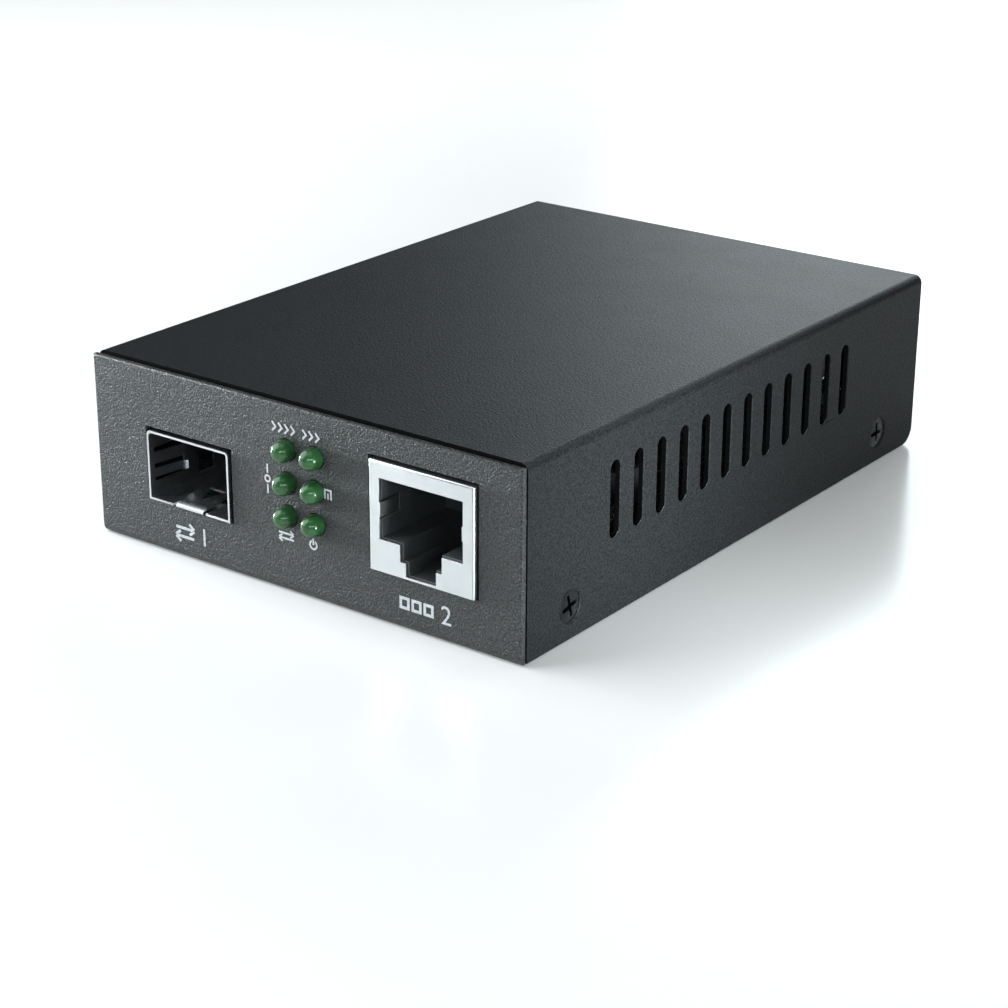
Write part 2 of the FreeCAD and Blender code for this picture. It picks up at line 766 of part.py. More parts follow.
def rj45_housing():
    half = jack_width / 2 - jack_sheet - jack_play
    front = jack_front_y + jack_sheet + jack_play
    rear = jack_rear_y - jack_rear_pocket
    top = jack_top - jack_sheet - jack_play
    body = box(jack_x - half, jack_x + half, front, rear, board_top, top)
    cutters = [prism(port_outline(port_ledge, front - 1), (0, 1 + port_depth, 0))]
    for side in (-1, 1):
        edge = jack_x + side * port_width / 2
        near = edge - side * (port_ledge + jack_play)
        far = edge + side * (jack_sheet + jack_play)
        cutters.append(box(min(near, far), max(near, far), front - 1, jack_front_y + leaf_length + jack_sheet,
                           board_top + leaf_low - jack_sheet, board_top + leaf_high + jack_sheet))
    ceiling = board_top + port_top - port_ledge
    groove_floor = top - contact_run_drop - contact_thickness
    for x in contact_lines():
        x0 = x - contact_groove / 2
        x1 = x + contact_groove / 2
        nose = jack_front_y + contact_nose - contact_thickness
        cutters.append(box(x0, x1, nose, rear + 1, groove_floor, top + 1))
        cutters.append(box(x0, x1, nose, jack_front_y + contact_tip_back + 1, ceiling - 1, top + 1))
    pegs = [rod(jack_peg_radius, (x, y, leg_bottom), (x, y, board_top)) for x, y in jack_peg_places()]
    return fused([holed(body, cutters)] + pegs)


def rj45_contacts():
    run = jack_top - jack_sheet - jack_play - contact_run_drop
    tip = board_top + port_top - port_ledge - contact_tip_drop
    contacts = []
    for i, x in enumerate(contact_lines()):
        leg = contact_leg_y(i)
        nose = jack_front_y + contact_nose
        turn = (nose + contact_thickness * 2, run - contact_thickness * 3)
        path = [(leg, leg_bottom), (leg, run), (nose, run), turn, (jack_front_y + contact_tip_back, tip)]
        contacts.append(strip(path, contact_thickness, contact_width, x))
    return Part.makeCompound(contacts)


# --- Indicator lamps ---

def lamp_leg_places():
    places = []
    for x, z, row in lamp_places:
        y = lamp_back_y + lamp_lead_first + row * lamp_lead_step
        places += [(x - lamp_lead_spacing / 2, y), (x + lamp_lead_spacing / 2, y)]
    return places


def lamp(x, z):
    barrel = rod(lamp_radius, (x, lamp_tip_y + lamp_radius, z), (x, lamp_back_y, z))
    dome = Part.makeSphere(lamp_radius, FreeCAD.Vector(x, lamp_tip_y + lamp_radius, z))
    rim = rod(lamp_rim_radius, (x, lamp_back_y - lamp_rim_length, z), (x, lamp_back_y, z))
    return fused([barrel, dome, rim])


def lamp_leads(x, z, row):
    y = lamp_back_y + lamp_lead_first + row * lamp_lead_step
    path = [(lamp_back_y, z), (y, z), (y, leg_bottom)]
    half = lamp_lead_spacing / 2
    return Part.makeCompound([strip(path, lamp_lead, lamp_lead, leg_x) for leg_x in (x - half, x + half)])


def holder_span():
    half = lamp_column_pitch / 2 + lamp_rim_radius + lamp_play + holder_gusset
    return lamp_x - half, lamp_x + half


def holder_peg_places():
    x0, x1 = holder_span()
    y = lamp_back_y - lamp_rim_length + holder_gusset_length - 2 * holder_peg_radius
    return [(x0 + holder_gusset / 2, y), (x1 - holder_gusset / 2, y)]


def lamp_holder():
    x0, x1 = holder_span()
    back = lamp_back_y - lamp_rim_length
    top = board_top + lamp_first_row + (lamp_rows - 1) * lamp_row_pitch + lamp_rim_radius
    plate = box(x0, x1, back - holder_wall, back, board_top, top)
    bores = [rod(lamp_radius + lamp_play, (x, back - holder_wall - 1, z), (x, back + 1, z))
             for x, z, row in lamp_places]
    gussets = []
    for x in (x0, x1 - holder_gusset):
        outline = [(x, back, board_top), (x, back + holder_gusset_length, board_top),
                   (x, back + holder_gusset_length, board_top + holder_gusset), (x, back, top)]
        gussets.append(prism(outline, (holder_gusset, 0, 0)))
    pegs = [rod(holder_peg_radius, (x, y, leg_bottom), (x, y, board_top + holder_gusset / 2))
            for x, y in holder_peg_places()]
    return fused([holed(plate, bores)] + gussets + pegs)


# --- Power inlet ---

def inlet_leg_places():
    blade = (inlet_x - inlet_blade_width / 2, inlet_x + inlet_blade_width / 2,
             inlet_front_y + inlet_play, inlet_front_y + inlet_play + inlet_blade)
    y = inlet_front_y + inlet_depth - inlet_bore_depth
    half = inlet_spring_width / 2
    return [blade, (inlet_x - half, inlet_x + half, y - inlet_spring_thickness, y)]


def power_inlet():
    x0 = inlet_x - inlet_width / 2
    x1 = inlet_x + inlet_width / 2
    body = box(x0, x1, inlet_front_y, inlet_rear_y, board_top, board_top + inlet_height)
    body = body.makeFillet(inlet_edge_radius, long_top_edges(body, inlet_depth))
    bore_end = inlet_rear_y - inlet_bore_depth
    bore = rod(inlet_bore_radius, (inlet_x, bore_end, inlet_axis_z),
               (inlet_x, inlet_rear_y + 1, inlet_axis_z))
    seat = rod(inlet_pin_root + inlet_play, (inlet_x, inlet_front_y, inlet_axis_z),
               (inlet_x, bore_end + 1, inlet_axis_z))
    half = inlet_blade_width / 2 + inlet_play
    pocket = box(inlet_x - half, inlet_x + half, inlet_front_y - 1, inlet_front_y + inlet_pocket,
                 board_top - 1, inlet_axis_z + half)
    half = inlet_spring_width / 2 + inlet_play
    low = inlet_axis_z - inlet_bore_radius
    channel = box(inlet_x - half, inlet_x + half, bore_end - inlet_spring_thickness - inlet_play,
                  inlet_rear_y - inlet_pocket, low - inlet_spring_thickness - inlet_play,
                  low + inlet_spring_bow + inlet_spring_thickness)
    slot = box(inlet_x - half, inlet_x + half, bore_end - inlet_spring_thickness - inlet_play,
               bore_end + inlet_play, board_top - 1, low)
    return holed(body, [bore, seat, pocket, channel, slot])


def inlet_pin():
    blade = inlet_leg_places()[0]
    tip = inlet_rear_y - inlet_pin_recess
    bore_end = inlet_rear_y - inlet_bore_depth
    root = rod(inlet_pin_root, (inlet_x, blade[2], inlet_axis_z), (inlet_x, bore_end, inlet_axis_z))
    pin = rod(inlet_pin_radius, (inlet_x, bore_end, inlet_axis_z), (inlet_x, tip, inlet_axis_z))
    pin = pin.makeFillet(inlet_pin_nose, edges_within(pin, y=(tip, tip)))
    return fused([root, pin, box(*blade, leg_bottom, inlet_axis_z + inlet_blade_width / 2)])


def inlet_spring():
    leg = inlet_leg_places()[1]
    y = (leg[2] + leg[3]) / 2
    level = inlet_axis_z - inlet_bore_radius - inlet_spring_thickness / 2
    tip = inlet_rear_y - inlet_pocket - 2 * inlet_play
    bow_start = y + (tip - y) / 3
    bow_peak = y + (tip - y) * 2 / 3
    path = [(y, leg_bottom), (y, level), (bow_start, level), (bow_peak, level + inlet_spring_bow),
            (tip, level)]
    return strip(path, inlet_spring_thickness, inlet_spring_width, inlet_x)


# --- Parts on the board ---

def gull_lead(height, width):
    """Lead from a package's side at x = 0, out along +X and down to its foot at z = 0."""
    outline = [(0, height), (lead_shoulder, height), (lead_shoulder + lead_thickness, lead_thickness),
               (lead_reach, lead_thickness), (lead_reach, 0), (lead_shoulder - lead_thickness / 2, 0),
               (lead_shoulder - lead_thickness, height - lead_thickness), (0, height - lead_thickness)]
    return prism([(x, -width / 2, z) for x, z in outline], (0, width, 0))


def lead_row(place, reach, turn, count, pitch, height, width):
    """Row of leads on the side of a package that faces turn degrees from +X."""
    leads = []
    for i in range(count):
        lead = gull_lead(height, width)
        lead.translate(FreeCAD.Vector(reach, (i - (count - 1) / 2) * pitch, 0))
        lead.rotate(ORIGIN, Z_AXIS, turn)
        lead.translate(FreeCAD.Vector(place[0], place[1], board_top))
        leads.append(lead)
    return leads


def package(place, length, width, height):
    """Moulded package with its upper edges softened, lifted off the board on its leads."""
    x, y = place
    low = board_top + chip_lift
    body = box(x - length / 2, x + length / 2, y - width / 2, y + width / 2, low, low + height)
    return body.makeChamfer(chip_edge, edges_within(body, z=(low + height, low + height)))


def converter_chip_leads():
    rows = []
    for turn in (0, 90, 180, 270):
        rows += lead_row(chip_place, chip_size / 2, turn, chip_leads_per_side, chip_lead_pitch,
                         chip_lift + chip_height / 2, chip_lead_width)
    return Part.makeCompound(rows)


def paired_leads(place, width, count, pitch, height, lead_width):
    rows = []
    for turn in (90, 270):
        rows += lead_row(place, width / 2, turn, count, pitch, chip_lift + height / 2, lead_width)
    return Part.makeCompound(rows)


def regulator_leads():
    level = chip_lift + regulator_height / 2
    front = lead_row(regulator_place, regulator_width / 2, 270, 3, regulator_lead_pitch, level,
                     regulator_lead_width)
    tab = lead_row(regulator_place, regulator_width / 2, 90, 1, 0, level, regulator_tab_width)
    return Part.makeCompound(front + tab)


def stadium(x, y, z0, z1, length, width):
    half = (length - width) / 2
    middle = box(x - half, x + half, y - width / 2, y + width / 2, z0, z1)
    return fused([middle] + [rod(width / 2, (x + s * half, y, z0), (x + s * half, y, z1)) for s in (-1, 1)])


def crystal_leg_places():
    x, y = crystal_place
    return [(x - crystal_lead_spacing / 2, y), (x + crystal_lead_spacing / 2, y)]


def crystal():
    x, y = crystal_place
    rim = stadium(x, y, board_top, board_top + crystal_rim, crystal_length, crystal_width)
    inset = 2 * crystal_rim
    can = stadium(x, y, board_top, board_top + crystal_height, crystal_length - inset, crystal_width - inset)
    legs = [rod(can_lead_radius, (a, b, leg_bottom), (a, b, board_top + crystal_rim))
            for a, b in crystal_leg_places()]
    return fused([rim, can] + legs)


def choke_core():
    """Ferrite drum with two flanges, on its square base."""
    x, y = choke_place
    low = board_top
    top = board_top + choke_height
    core = rod(choke_core_radius, (x, y, low + choke_flange), (x, y, top - choke_flange))
    flanges = []
    for z in (low, top - choke_flange):
        half = choke_size / 2
        flange = box(x - half, x + half, y - half, y + half, z, z + choke_flange)
        upright = [edge for edge in flange.Edges if edge.BoundBox.ZLength > choke_flange / 2]
        flanges.append(flange.makeChamfer(choke_corner, upright))
    return fused([core] + flanges)


def choke_winding():
    x, y = choke_place
    low = board_top + choke_flange + choke_gap / 2
    high = board_top + choke_height - choke_flange - choke_gap / 2
    coil = rod(choke_wire_radius, (x, y, low), (x, y, high))
    return coil.cut(rod(choke_core_radius + choke_gap / 2, (x, y, low - 1), (x, y, high + 1)))


def input_diode():
    x, y = diode_place
    low = board_top + diode_tab_thickness
    return box(x - diode_length / 2, x + diode_length / 2, y - diode_width / 2, y + diode_width / 2,
               low, board_top + diode_height)


def diode_tabs():
    x, y = diode_place
    tabs = []
    for side in (-1, 1):
        outer = x + side * (diode_length / 2 + diode_tab / 2)
        inner = x + side * (diode_length / 2 - diode_tab / 2)
        tabs.append(box(min(outer, inner), max(outer, inner), y - diode_tab / 2, y + diode_tab / 2,
                        board_top, board_top + diode_tab_thickness))
    return Part.makeCompound(tabs)


def can_pair(x, y, radius):
    spread = radius * can_leg_share
    return [(x - spread, y), (x + spread, y)]


def can_leg_places():
    places = []
    for (x, y), radius in ((input_can_place, input_can_radius), (output_can_place, output_can_radius)):
        places += can_pair(x, y, radius)
    return places


def capacitor(place, radius, height):
    """Electrolytic capacitor with its crimped groove and two legs."""
    x, y = place
    can = rod(radius, (x, y, board_top), (x, y, board_top + height))
    can = can.makeFillet(can_edge_radius, edges_within(can, z=(board_top + height, board_top + height)))
    centre = FreeCAD.Vector(x, y, board_top + can_groove_height)
    groove = Part.makeTorus(radius + can_groove / 2, can_groove, centre)
    legs = [rod(can_lead_radius, (leg_x, leg_y, leg_bottom), (leg_x, leg_y, board_top + can_edge_radius))
            for leg_x, leg_y in can_pair(x, y, radius)]
    return fused([can.cut(groove)] + legs)


def chip_parts():
    """Rows of small resistors and capacitors in front of and behind the converter chip."""
    x, y = chip_place
    reach = chip_size / 2 + lead_reach + chip_part_gap + chip_part_width / 2
    parts = []
    for row in (-1, 1):
        for i in range(chip_part_count):
            left = x + (i - (chip_part_count - 1) / 2) * chip_part_pitch - chip_part_length / 2
            front = y + row * reach - chip_part_width / 2
            parts.append(box(left, left + chip_part_length, front, front + chip_part_width,
                             board_top, board_top + chip_part_height))
    return Part.makeCompound(parts)


os.makedirs("parts", exist_ok=True)
save("top_cover", top_cover())
save("chassis", chassis())
save("case_screws", Part.makeCompound([case_screw(side, y) for side in (-1, 1) for y in screw_places]))
save("circuit_board", circuit_board())
save("board_standoffs", Part.makeCompound([standoff(x, y) for x, y in standoff_places]))
save("board_screws", Part.makeCompound([board_screw(x, y) for x, y in standoff_places]))
save("sfp_cage", sfp_cage())
save("sfp_connector", sfp_connector())
save("sfp_connector_contacts", sfp_connector_contacts())
save("rj45_shield", rj45_shield())
save("rj45_housing", rj45_housing())
save("rj45_contacts", rj45_contacts())
save("lamp_holder", lamp_holder())
for number, (lamp_place_x, lamp_place_z, lamp_row) in enumerate(lamp_places, start=1):
    save("lamp_" + str(number), lamp(lamp_place_x, lamp_place_z))
    save("lamp_leads_" + str(number), lamp_leads(lamp_place_x, lamp_place_z, lamp_row))
save("power_inlet", power_inlet())
save("inlet_pin", inlet_pin())
save("inlet_spring", inlet_spring())
save("converter_chip", package(chip_place, chip_size, chip_size, chip_height))
save("converter_chip_leads", converter_chip_leads())
save("line_transformer", package(coil_place, coil_length, coil_width, coil_height))
save("line_transformer_leads", paired_leads(coil_place, coil_width, coil_leads_per_side, coil_lead_pitch,
                                            coil_height / 3, coil_lead_width))
save("memory_chip", package(memory_place, memory_length, memory_width, memory_height))
save("memory_chip_leads", paired_leads(memory_place, memory_width, memory_leads_per_side, memory_lead_pitch,
                                       memory_height, memory_lead_width))
save("regulator", package(regulator_place, regulator_length, regulator_width, regulator_height))
save("regulator_leads", regulator_leads())
save("crystal", crystal())
save("choke_core", choke_core())
save("choke_winding", choke_winding())
save("input_diode", input_diode())
save("diode_tabs", diode_tabs())
save("input_capacitor", capacitor(input_can_place, input_can_radius, input_can_height))
save("output_capacitor", capacitor(output_can_place, output_can_radius, output_can_height))
save("chip_parts", chip_parts())
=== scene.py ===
import bmesh
import bpy
import math
from mathutils import Matrix, Vector


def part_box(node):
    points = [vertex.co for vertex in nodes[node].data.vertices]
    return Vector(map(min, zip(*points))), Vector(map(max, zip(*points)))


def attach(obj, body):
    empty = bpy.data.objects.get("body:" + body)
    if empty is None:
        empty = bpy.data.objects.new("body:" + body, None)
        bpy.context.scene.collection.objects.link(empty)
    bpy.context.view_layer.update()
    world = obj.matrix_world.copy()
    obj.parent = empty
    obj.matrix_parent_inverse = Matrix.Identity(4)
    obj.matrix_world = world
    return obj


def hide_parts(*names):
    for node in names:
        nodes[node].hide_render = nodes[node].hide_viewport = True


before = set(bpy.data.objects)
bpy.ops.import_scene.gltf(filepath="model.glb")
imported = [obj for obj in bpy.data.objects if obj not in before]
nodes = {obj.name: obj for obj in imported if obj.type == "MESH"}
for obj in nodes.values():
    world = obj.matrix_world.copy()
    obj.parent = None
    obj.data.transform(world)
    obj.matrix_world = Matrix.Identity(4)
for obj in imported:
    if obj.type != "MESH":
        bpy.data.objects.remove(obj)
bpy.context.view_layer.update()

body = "root"
mm = 0.001
close = 0.01   # mm, places nearer than this count as one
squareCorners = ((-1, -1), (1, -1), (1, 1), (-1, 1))
bpy.context.scene.view_settings.view_transform = "Standard"
print("frame loaded:", len(nodes), "nodes")


def newObject(name, data):
    item = bpy.data.objects.new(name, data)
    bpy.context.scene.collection.objects.link(item)
    return item


def direction(azimuth, elevation):
    # unit vector towards a place seen from the object, azimuth 0 in front of it
    azimuth, elevation = math.radians(azimuth), math.radians(elevation)
    return Vector((math.sin(azimuth) * math.cos(elevation), -math.cos(azimuth) * math.cos(elevation),
                   math.sin(elevation)))


cameraSet = {
    "target": (2.972, -9.5, 0.663),   # mm
    "distance": 335.655,
    "azimuth": 36.732,
    "elevation": 21.907,
    "roll": 0.28,
    "lens": 85.478,
    "sensor": 36.0,
    "clip": (0.01, 10.0),   # m
}


def makeCamera():
    s = cameraSet
    back = direction(s["azimuth"], s["elevation"])
    right = direction(s["azimuth"] + 90, 0)
    up = back.cross(right)
    roll = math.radians(s["roll"])
    turned = (math.cos(roll) * right + math.sin(roll) * up,
              math.cos(roll) * up - math.sin(roll) * right, back)
    data = bpy.data.cameras.new("camera")
    data.lens = s["lens"]
    data.sensor_width = s["sensor"]
    data.clip_start, data.clip_end = s["clip"]
    camera = newObject("camera", data)
    place = (Vector(s["target"]) + back * s["distance"]) * mm
    camera.matrix_world = Matrix.Translation(place) @ Matrix(turned).transposed().to_4x4()
    bpy.context.scene.camera = camera


makeCamera()


def fill(node, sockets):
    # sockets: label -> a value, or the output to link
    for label, value in sockets.items():
        if isinstance(value, bpy.types.NodeSocket):
            node.id_data.links.new(value, node.inputs[label])
        else:
            node.inputs[label].default_value = value


def addNode(tree, kind, sockets=None, **settings):
    node = tree.nodes.new(kind)
    for key, value in settings.items():
        setattr(node, key, value)
    fill(node, sockets or {})
    return node


def startMaterial(name, colour, roughness, metallic=0.0):
    material = bpy.data.materials.new(name)
    material.use_nodes = True
    material.diffuse_color = (*colour, 1)
    shader = material.node_tree.nodes["Principled BSDF"]
    fill(shader, {"Base Color": (*colour, 1), "Roughness": roughness, "Metallic": metallic})
    return material, material.node_tree, shader


def objectPoints(tree, stretch=(1, 1, 1)):
    # object coordinates, in metres, scaled along each axis
    source = addNode(tree, "ShaderNodeTexCoord").outputs["Object"]
    return addNode(tree, "ShaderNodeMapping", {"Scale": stretch, "Vector": source}).outputs["Vector"]


def noise(points, size, detail=3.0, roughness=0.5):
    # size is the width of one feature in mm
    sockets = {"Scale": 1 / (size * mm), "Detail": detail, "Roughness": roughness, "Vector": points}
    return addNode(points.id_data, "ShaderNodeTexNoise", sockets).outputs["Fac"]


def blendColours(amount, dark, light, low=0.35, high=0.65):
    node = addNode(amount.id_data, "ShaderNodeValToRGB", {"Fac": amount})
    for element, place, colour in zip(node.color_ramp.elements, (low, high), (dark, light)):
        element.position = place
        element.color = (*colour, 1)
    return node.outputs["Color"]


def paint(shader, amount, dark, light, *places):
    fill(shader, {"Base Color": blendColours(amount, dark, light, *places)})


def mapRange(amount, fromRange, toRange, **settings):
    labels = ("From Min", "From Max", "To Min", "To Max")
    sockets = dict(zip(labels, (*fromRange, *toRange)), Value=amount)
    return addNode(amount.id_data, "ShaderNodeMapRange", sockets, **settings).outputs["Result"]


noiseRange = (0.3, 0.7)   # where most values of a noise lie


def roughen(shader, amount, low, high):
    fill(shader, {"Roughness": mapRange(amount, noiseRange, (low, high))})


def addBump(shader, height, depth, strength=1.0):
    # stacks on any bump that the shader already has; depth in mm
    sockets = {"Distance": depth * mm, "Strength": strength, "Height": height}
    if shader.inputs["Normal"].is_linked:
        sockets["Normal"] = shader.inputs["Normal"].links[0].from_socket
    bump = addNode(shader.id_data, "ShaderNodeBump", sockets)
    fill(shader, {"Normal": bump.outputs["Normal"]})


coatSet = {
    # grain in mm, dark and light flecks (painted shade and light standing in for the micro-shadows of the
    # coat's texture), depth of the fine and the soft relief in mm, shine, roughness
    "panel": (0.30, (0.005, 0.006, 0.0065), (0.052, 0.056, 0.058), 0.27, 0.15, 0.40, (0.41, 0.49)),
    "cover": (0.28, (0.0065, 0.0072, 0.0078), (0.022, 0.0242, 0.0258), 0.062, 0.014, 0.12, (0.435, 0.455)),
}


def powderCoat(name, settings):
    grain, dark, light, fineDepth, softDepth, shine, roughness = settings
    material, tree, shader = startMaterial(name, light, roughness[1])
    fill(shader, {"Specular IOR Level": shine})
    points = objectPoints(tree)
    fine = noise(points, grain, 2, 0.6)
    soft = noise(points, grain * 3.5, 3, 0.6)
    mottle = noise(points, 9, 3, 0.6)
    # painted shade and light: the flecks stand in for the micro-shadows of the coat's texture
    paint(shader, fine, dark, light, 0.36, 0.66)
    roughen(shader, mottle, *roughness)
    addBump(shader, soft, softDepth, 1.0)
    addBump(shader, fine, fineDepth, 1.0)
    return material


def brightSheet(name, colour, roughness, grainAxis, marking):
    # plated steel sheet with faint rolling marks along one axis
    material, tree, shader = startMaterial(name, colour, roughness, 1.0)
    stretch = [1, 1, 1]
    stretch[grainAxis] = 0.06
    marks = noise(objectPoints(tree, stretch), 0.16, 2, 0.5)
    clouds = noise(objectPoints(tree), 4.0, 3, 0.5)
    dull = tuple(channel * 0.93 for channel in colour)
    paint(shader, clouds, dull, colour, 0.35, 0.6)
    roughen(shader, marks, roughness * 0.9, roughness * 1.12)
    addBump(shader, marks, marking, 0.6)
    addBump(shader, clouds, marking * 4, 0.3)
    return material


def platedMetal(name, colour, roughness, grain=0.5):
    material, tree, shader = startMaterial(name, colour, roughness, 1.0)
    points = objectPoints(tree)
    patches = noise(points, grain * 4, 3, 0.6)
    fine = noise(points, grain, 3, 0.6)
    dull = tuple(channel * 0.75 for channel in colour)
    paint(shader, patches, dull, colour)
    roughen(shader, fine, roughness * 0.75, roughness * 1.3)
    addBump(shader, fine, 0.008, 0.6)
    return material


def moulding(name, colour, roughness, grain=0.22, depth=0.006):
    material, tree, shader = startMaterial(name, colour, roughness)
    points = objectPoints(tree)
    spark = noise(points, grain, 3, 0.6)
    flow = noise(points, 5, 3, 0.5)
    dark = tuple(channel * 0.7 for channel in colour)
    paint(shader, flow, dark, colour)
    roughen(shader, flow, roughness * 0.85, roughness * 1.15)
    addBump(shader, spark, depth, 0.7)
    return material


def greenEpoxy():
    # tinted lens with painted shade: its colour turns darker towards the rim, where the surface turns from
    # the view
    material, tree, shader = startMaterial("greenEpoxy", (0.024, 0.105, 0.030), 0.16)
    edge = addNode(tree, "ShaderNodeLayerWeight", {"Blend": 0.42})
    haze = noise(objectPoints(tree), 2.4, 2, 0.5)
    inner = blendColours(haze, (0.020, 0.095, 0.026), (0.031, 0.122, 0.036))
    # painted shade: darker colour at the rim by the facing ratio
    paintedRimShade = addNode(tree, "ShaderNodeMix", data_type="RGBA")
    fill(paintedRimShade, {"Factor": edge.outputs["Facing"], "A": inner, "B": (0.006, 0.032, 0.011, 1)})
    fill(shader, {"Transmission Weight": 0.12, "IOR": 1.5, "Base Color": paintedRimShade.outputs["Result"]})
    roughen(shader, haze, 0.14, 0.19)
    return material


def printedInk():
    material, tree, shader = startMaterial("printedInk", (0.60, 0.63, 0.65), 0.55)
    points = objectPoints(tree)
    wear = noise(points, 0.35, 4, 0.7)
    paint(shader, wear, (0.46, 0.49, 0.51), (0.66, 0.69, 0.71))
    grain = coatSet["panel"][0]
    addBump(shader, noise(points, grain, 2, 0.6), coatSet["panel"][3], 0.5)
    return material


coverPaint = powderCoat("coverPaint", coatSet["cover"])
panelPaint = powderCoat("panelPaint", coatSet["panel"])
# near black, painted shade on the slots' walls and a painted shadow on the cover's front edge
paintedShadeEdge = moulding("paintedShadeEdge", (0.0035, 0.0038, 0.004), 0.7, 0.3, 0.02)
fill(paintedShadeEdge.node_tree.nodes["Principled BSDF"], {"Specular IOR Level": 0.05})
# pale grey, a painted highlight on the slots' lower rims
paintedSlotHighlight = moulding("paintedSlotHighlight", (0.26, 0.27, 0.275), 0.42)
screwFinish = platedMetal("screwFinish", (0.05, 0.053, 0.057), 0.27, 0.4)
jackSheet = brightSheet("jackSheet", (0.64, 0.668, 0.68), 0.36, 0, 0.0008)
# darker copy of the jack's sheet, painted shade on its walls
jackWallShade = brightSheet("jackWallShade", (0.30, 0.31, 0.32), 0.45, 1, 0.0008)
cageSheet = brightSheet("cageSheet", (0.50, 0.52, 0.54), 0.30, 1, 0.0006)
cageRim = brightSheet("cageRim", (0.54, 0.56, 0.57), 0.36, 0, 0.0004)
zincFinish = platedMetal("zincFinish", (0.62, 0.63, 0.62), 0.33)
tinFinish = platedMetal("tinFinish", (0.68, 0.68, 0.67), 0.36, 0.25)
goldFinish = platedMetal("goldFinish", (0.86, 0.60, 0.24), 0.24, 0.3)
blackMoulding = moulding("blackMoulding", (0.034, 0.037, 0.040), 0.42)
jackMoulding = moulding("jackMoulding", (0.042, 0.047, 0.050), 0.46)
chipMoulding = moulding("chipMoulding", (0.026, 0.026, 0.028), 0.52, 0.15, 0.008)
lensFinish = greenEpoxy()
inkFinish = printedInk()
ferriteFinish = moulding("ferriteFinish", (0.045, 0.046, 0.05), 0.45, 0.3, 0.015)
ceramicFinish = moulding("ceramicFinish", (0.27, 0.19, 0.11), 0.4, 0.2, 0.004)
sleeveFinish = moulding("sleeveFinish", (0.012, 0.014, 0.045), 0.28, 0.6, 0.004)
stripeFinish = moulding("stripeFinish", (0.42, 0.44, 0.47), 0.3, 0.6, 0.004)
copperFinish = platedMetal("copperFinish", (0.72, 0.30, 0.13), 0.25, 0.3)
print("materials made")


hatchSize = 7   # mm


def boardMask():
    # solder mask over laminate, with pale hatching of the copper under it
    material, tree, shader = startMaterial("boardMask", (0.003, 0.018, 0.009), 0.3)
    points = objectPoints(tree)
    scaled = {"Scale": 1 / (hatchSize * mm), "Vector": points}
    fields = addNode(tree, "ShaderNodeTexVoronoi", scaled, distance="CHEBYCHEV", feature="F1")
    lines = addNode(tree, "ShaderNodeTexWave", scaled, bands_direction="DIAGONAL")
    copper = addNode(tree, "ShaderNodeMath", {0: fields.outputs["Distance"], 1: lines.outputs["Fac"]},
                     operation="MULTIPLY").outputs["Value"]
    weave = noise(objectPoints(tree, (1, 0.3, 1)), 0.35, 2)
    paint(shader, copper, (0.0025, 0.015, 0.0075), (0.004, 0.025, 0.011), 0.16, 0.20)
    roughen(shader, weave, 0.24, 0.36)
    addBump(shader, copper, 0.03, 0.5)
    addBump(shader, weave, 0.004, 0.6)
    return material


maskFinish = boardMask()
for materialSlot in nodes["circuit_board"].material_slots:
    materialSlot.material = maskFinish


def newPiece(name, mesh, finish):
    piece = newObject(name, mesh)
    mesh.materials.clear()
    mesh.materials.append(finish)
    return piece


def shade(mesh, sharpAngle):
    mesh.shade_smooth()
    mesh.set_sharp_from_angle(angle=math.radians(sharpAngle))


def meshFrom(name, bm, sharpAngle):
    mesh = bpy.data.meshes.new(name)
    bm.to_mesh(mesh)
    bm.free()
    shade(mesh, sharpAngle)
    return mesh


def fromBmesh(name, bm, finish, sharpAngle=35):
    bmesh.ops.recalc_face_normals(bm, faces=bm.faces)
    return newPiece(name, meshFrom(name, bm, sharpAngle), finish)


def settle(piece):
    # gives the piece the plain mesh that its modifiers make
    graph = bpy.context.evaluated_depsgraph_get()
    made = bpy.data.meshes.new_from_object(piece.evaluated_get(graph), preserve_all_data_layers=True,
                                           depsgraph=graph)
    piece.modifiers.clear()
    piece.data = made


def dress(piece, slotName, *replaced):
    if replaced:
        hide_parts(*replaced)
    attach(piece, body)


copySet = {"merge": 0.001, "flat": 0.5, "rounded": 40, "sharp": 50, "steps": 2}   # mm, then degrees


def mergedCopy(node):
    # a CAD node's faces joined into closed solids
    bm = bmesh.new()
    bm.from_mesh(nodes[node].data)
    bmesh.ops.remove_doubles(bm, verts=bm.verts, dist=copySet["merge"] * mm)
    return bm


def softCopy(name, node, finish, width, shortest=1.0, reshape=None):
    # copy of a CAD node, its flat faces whole and its long sharp edges rounded; width and shortest in mm
    bm = mergedCopy(node)
    bmesh.ops.dissolve_limit(bm, angle_limit=math.radians(copySet["flat"]), verts=bm.verts, edges=bm.edges)
    if reshape:
        reshape(bm)
    rounded = [edge for edge in bm.edges if edge.is_manifold and edge.calc_length() > shortest * mm
               and edge.calc_face_angle(0) > math.radians(copySet["rounded"])]
    roundEdges(bm, rounded, width, copySet["steps"])
    piece = newPiece(name, meshFrom(name, bm, copySet["sharp"]), finish)
    evenShading(piece)
    return piece


def roundEdges(bm, edges, width, segments):
    # width in mm
    bmesh.ops.bevel(bm, geom=edges, offset=width * mm, segments=segments, profile=0.5, affect="EDGES",
                    clamp_overlap=True)


splitTolerance = 1e-7   # m


def splitAt(bm, place, normal, chosen=lambda vert: True):
    # new edges where a plane crosses the items whose vertices are all chosen
    items = [vert for vert in bm.verts if chosen(vert)]
    items += [item for item in (*bm.edges, *bm.faces) if all(chosen(vert) for vert in item.verts)]
    bmesh.ops.bisect_plane(bm, geom=items, plane_co=place, plane_no=normal, dist=splitTolerance)


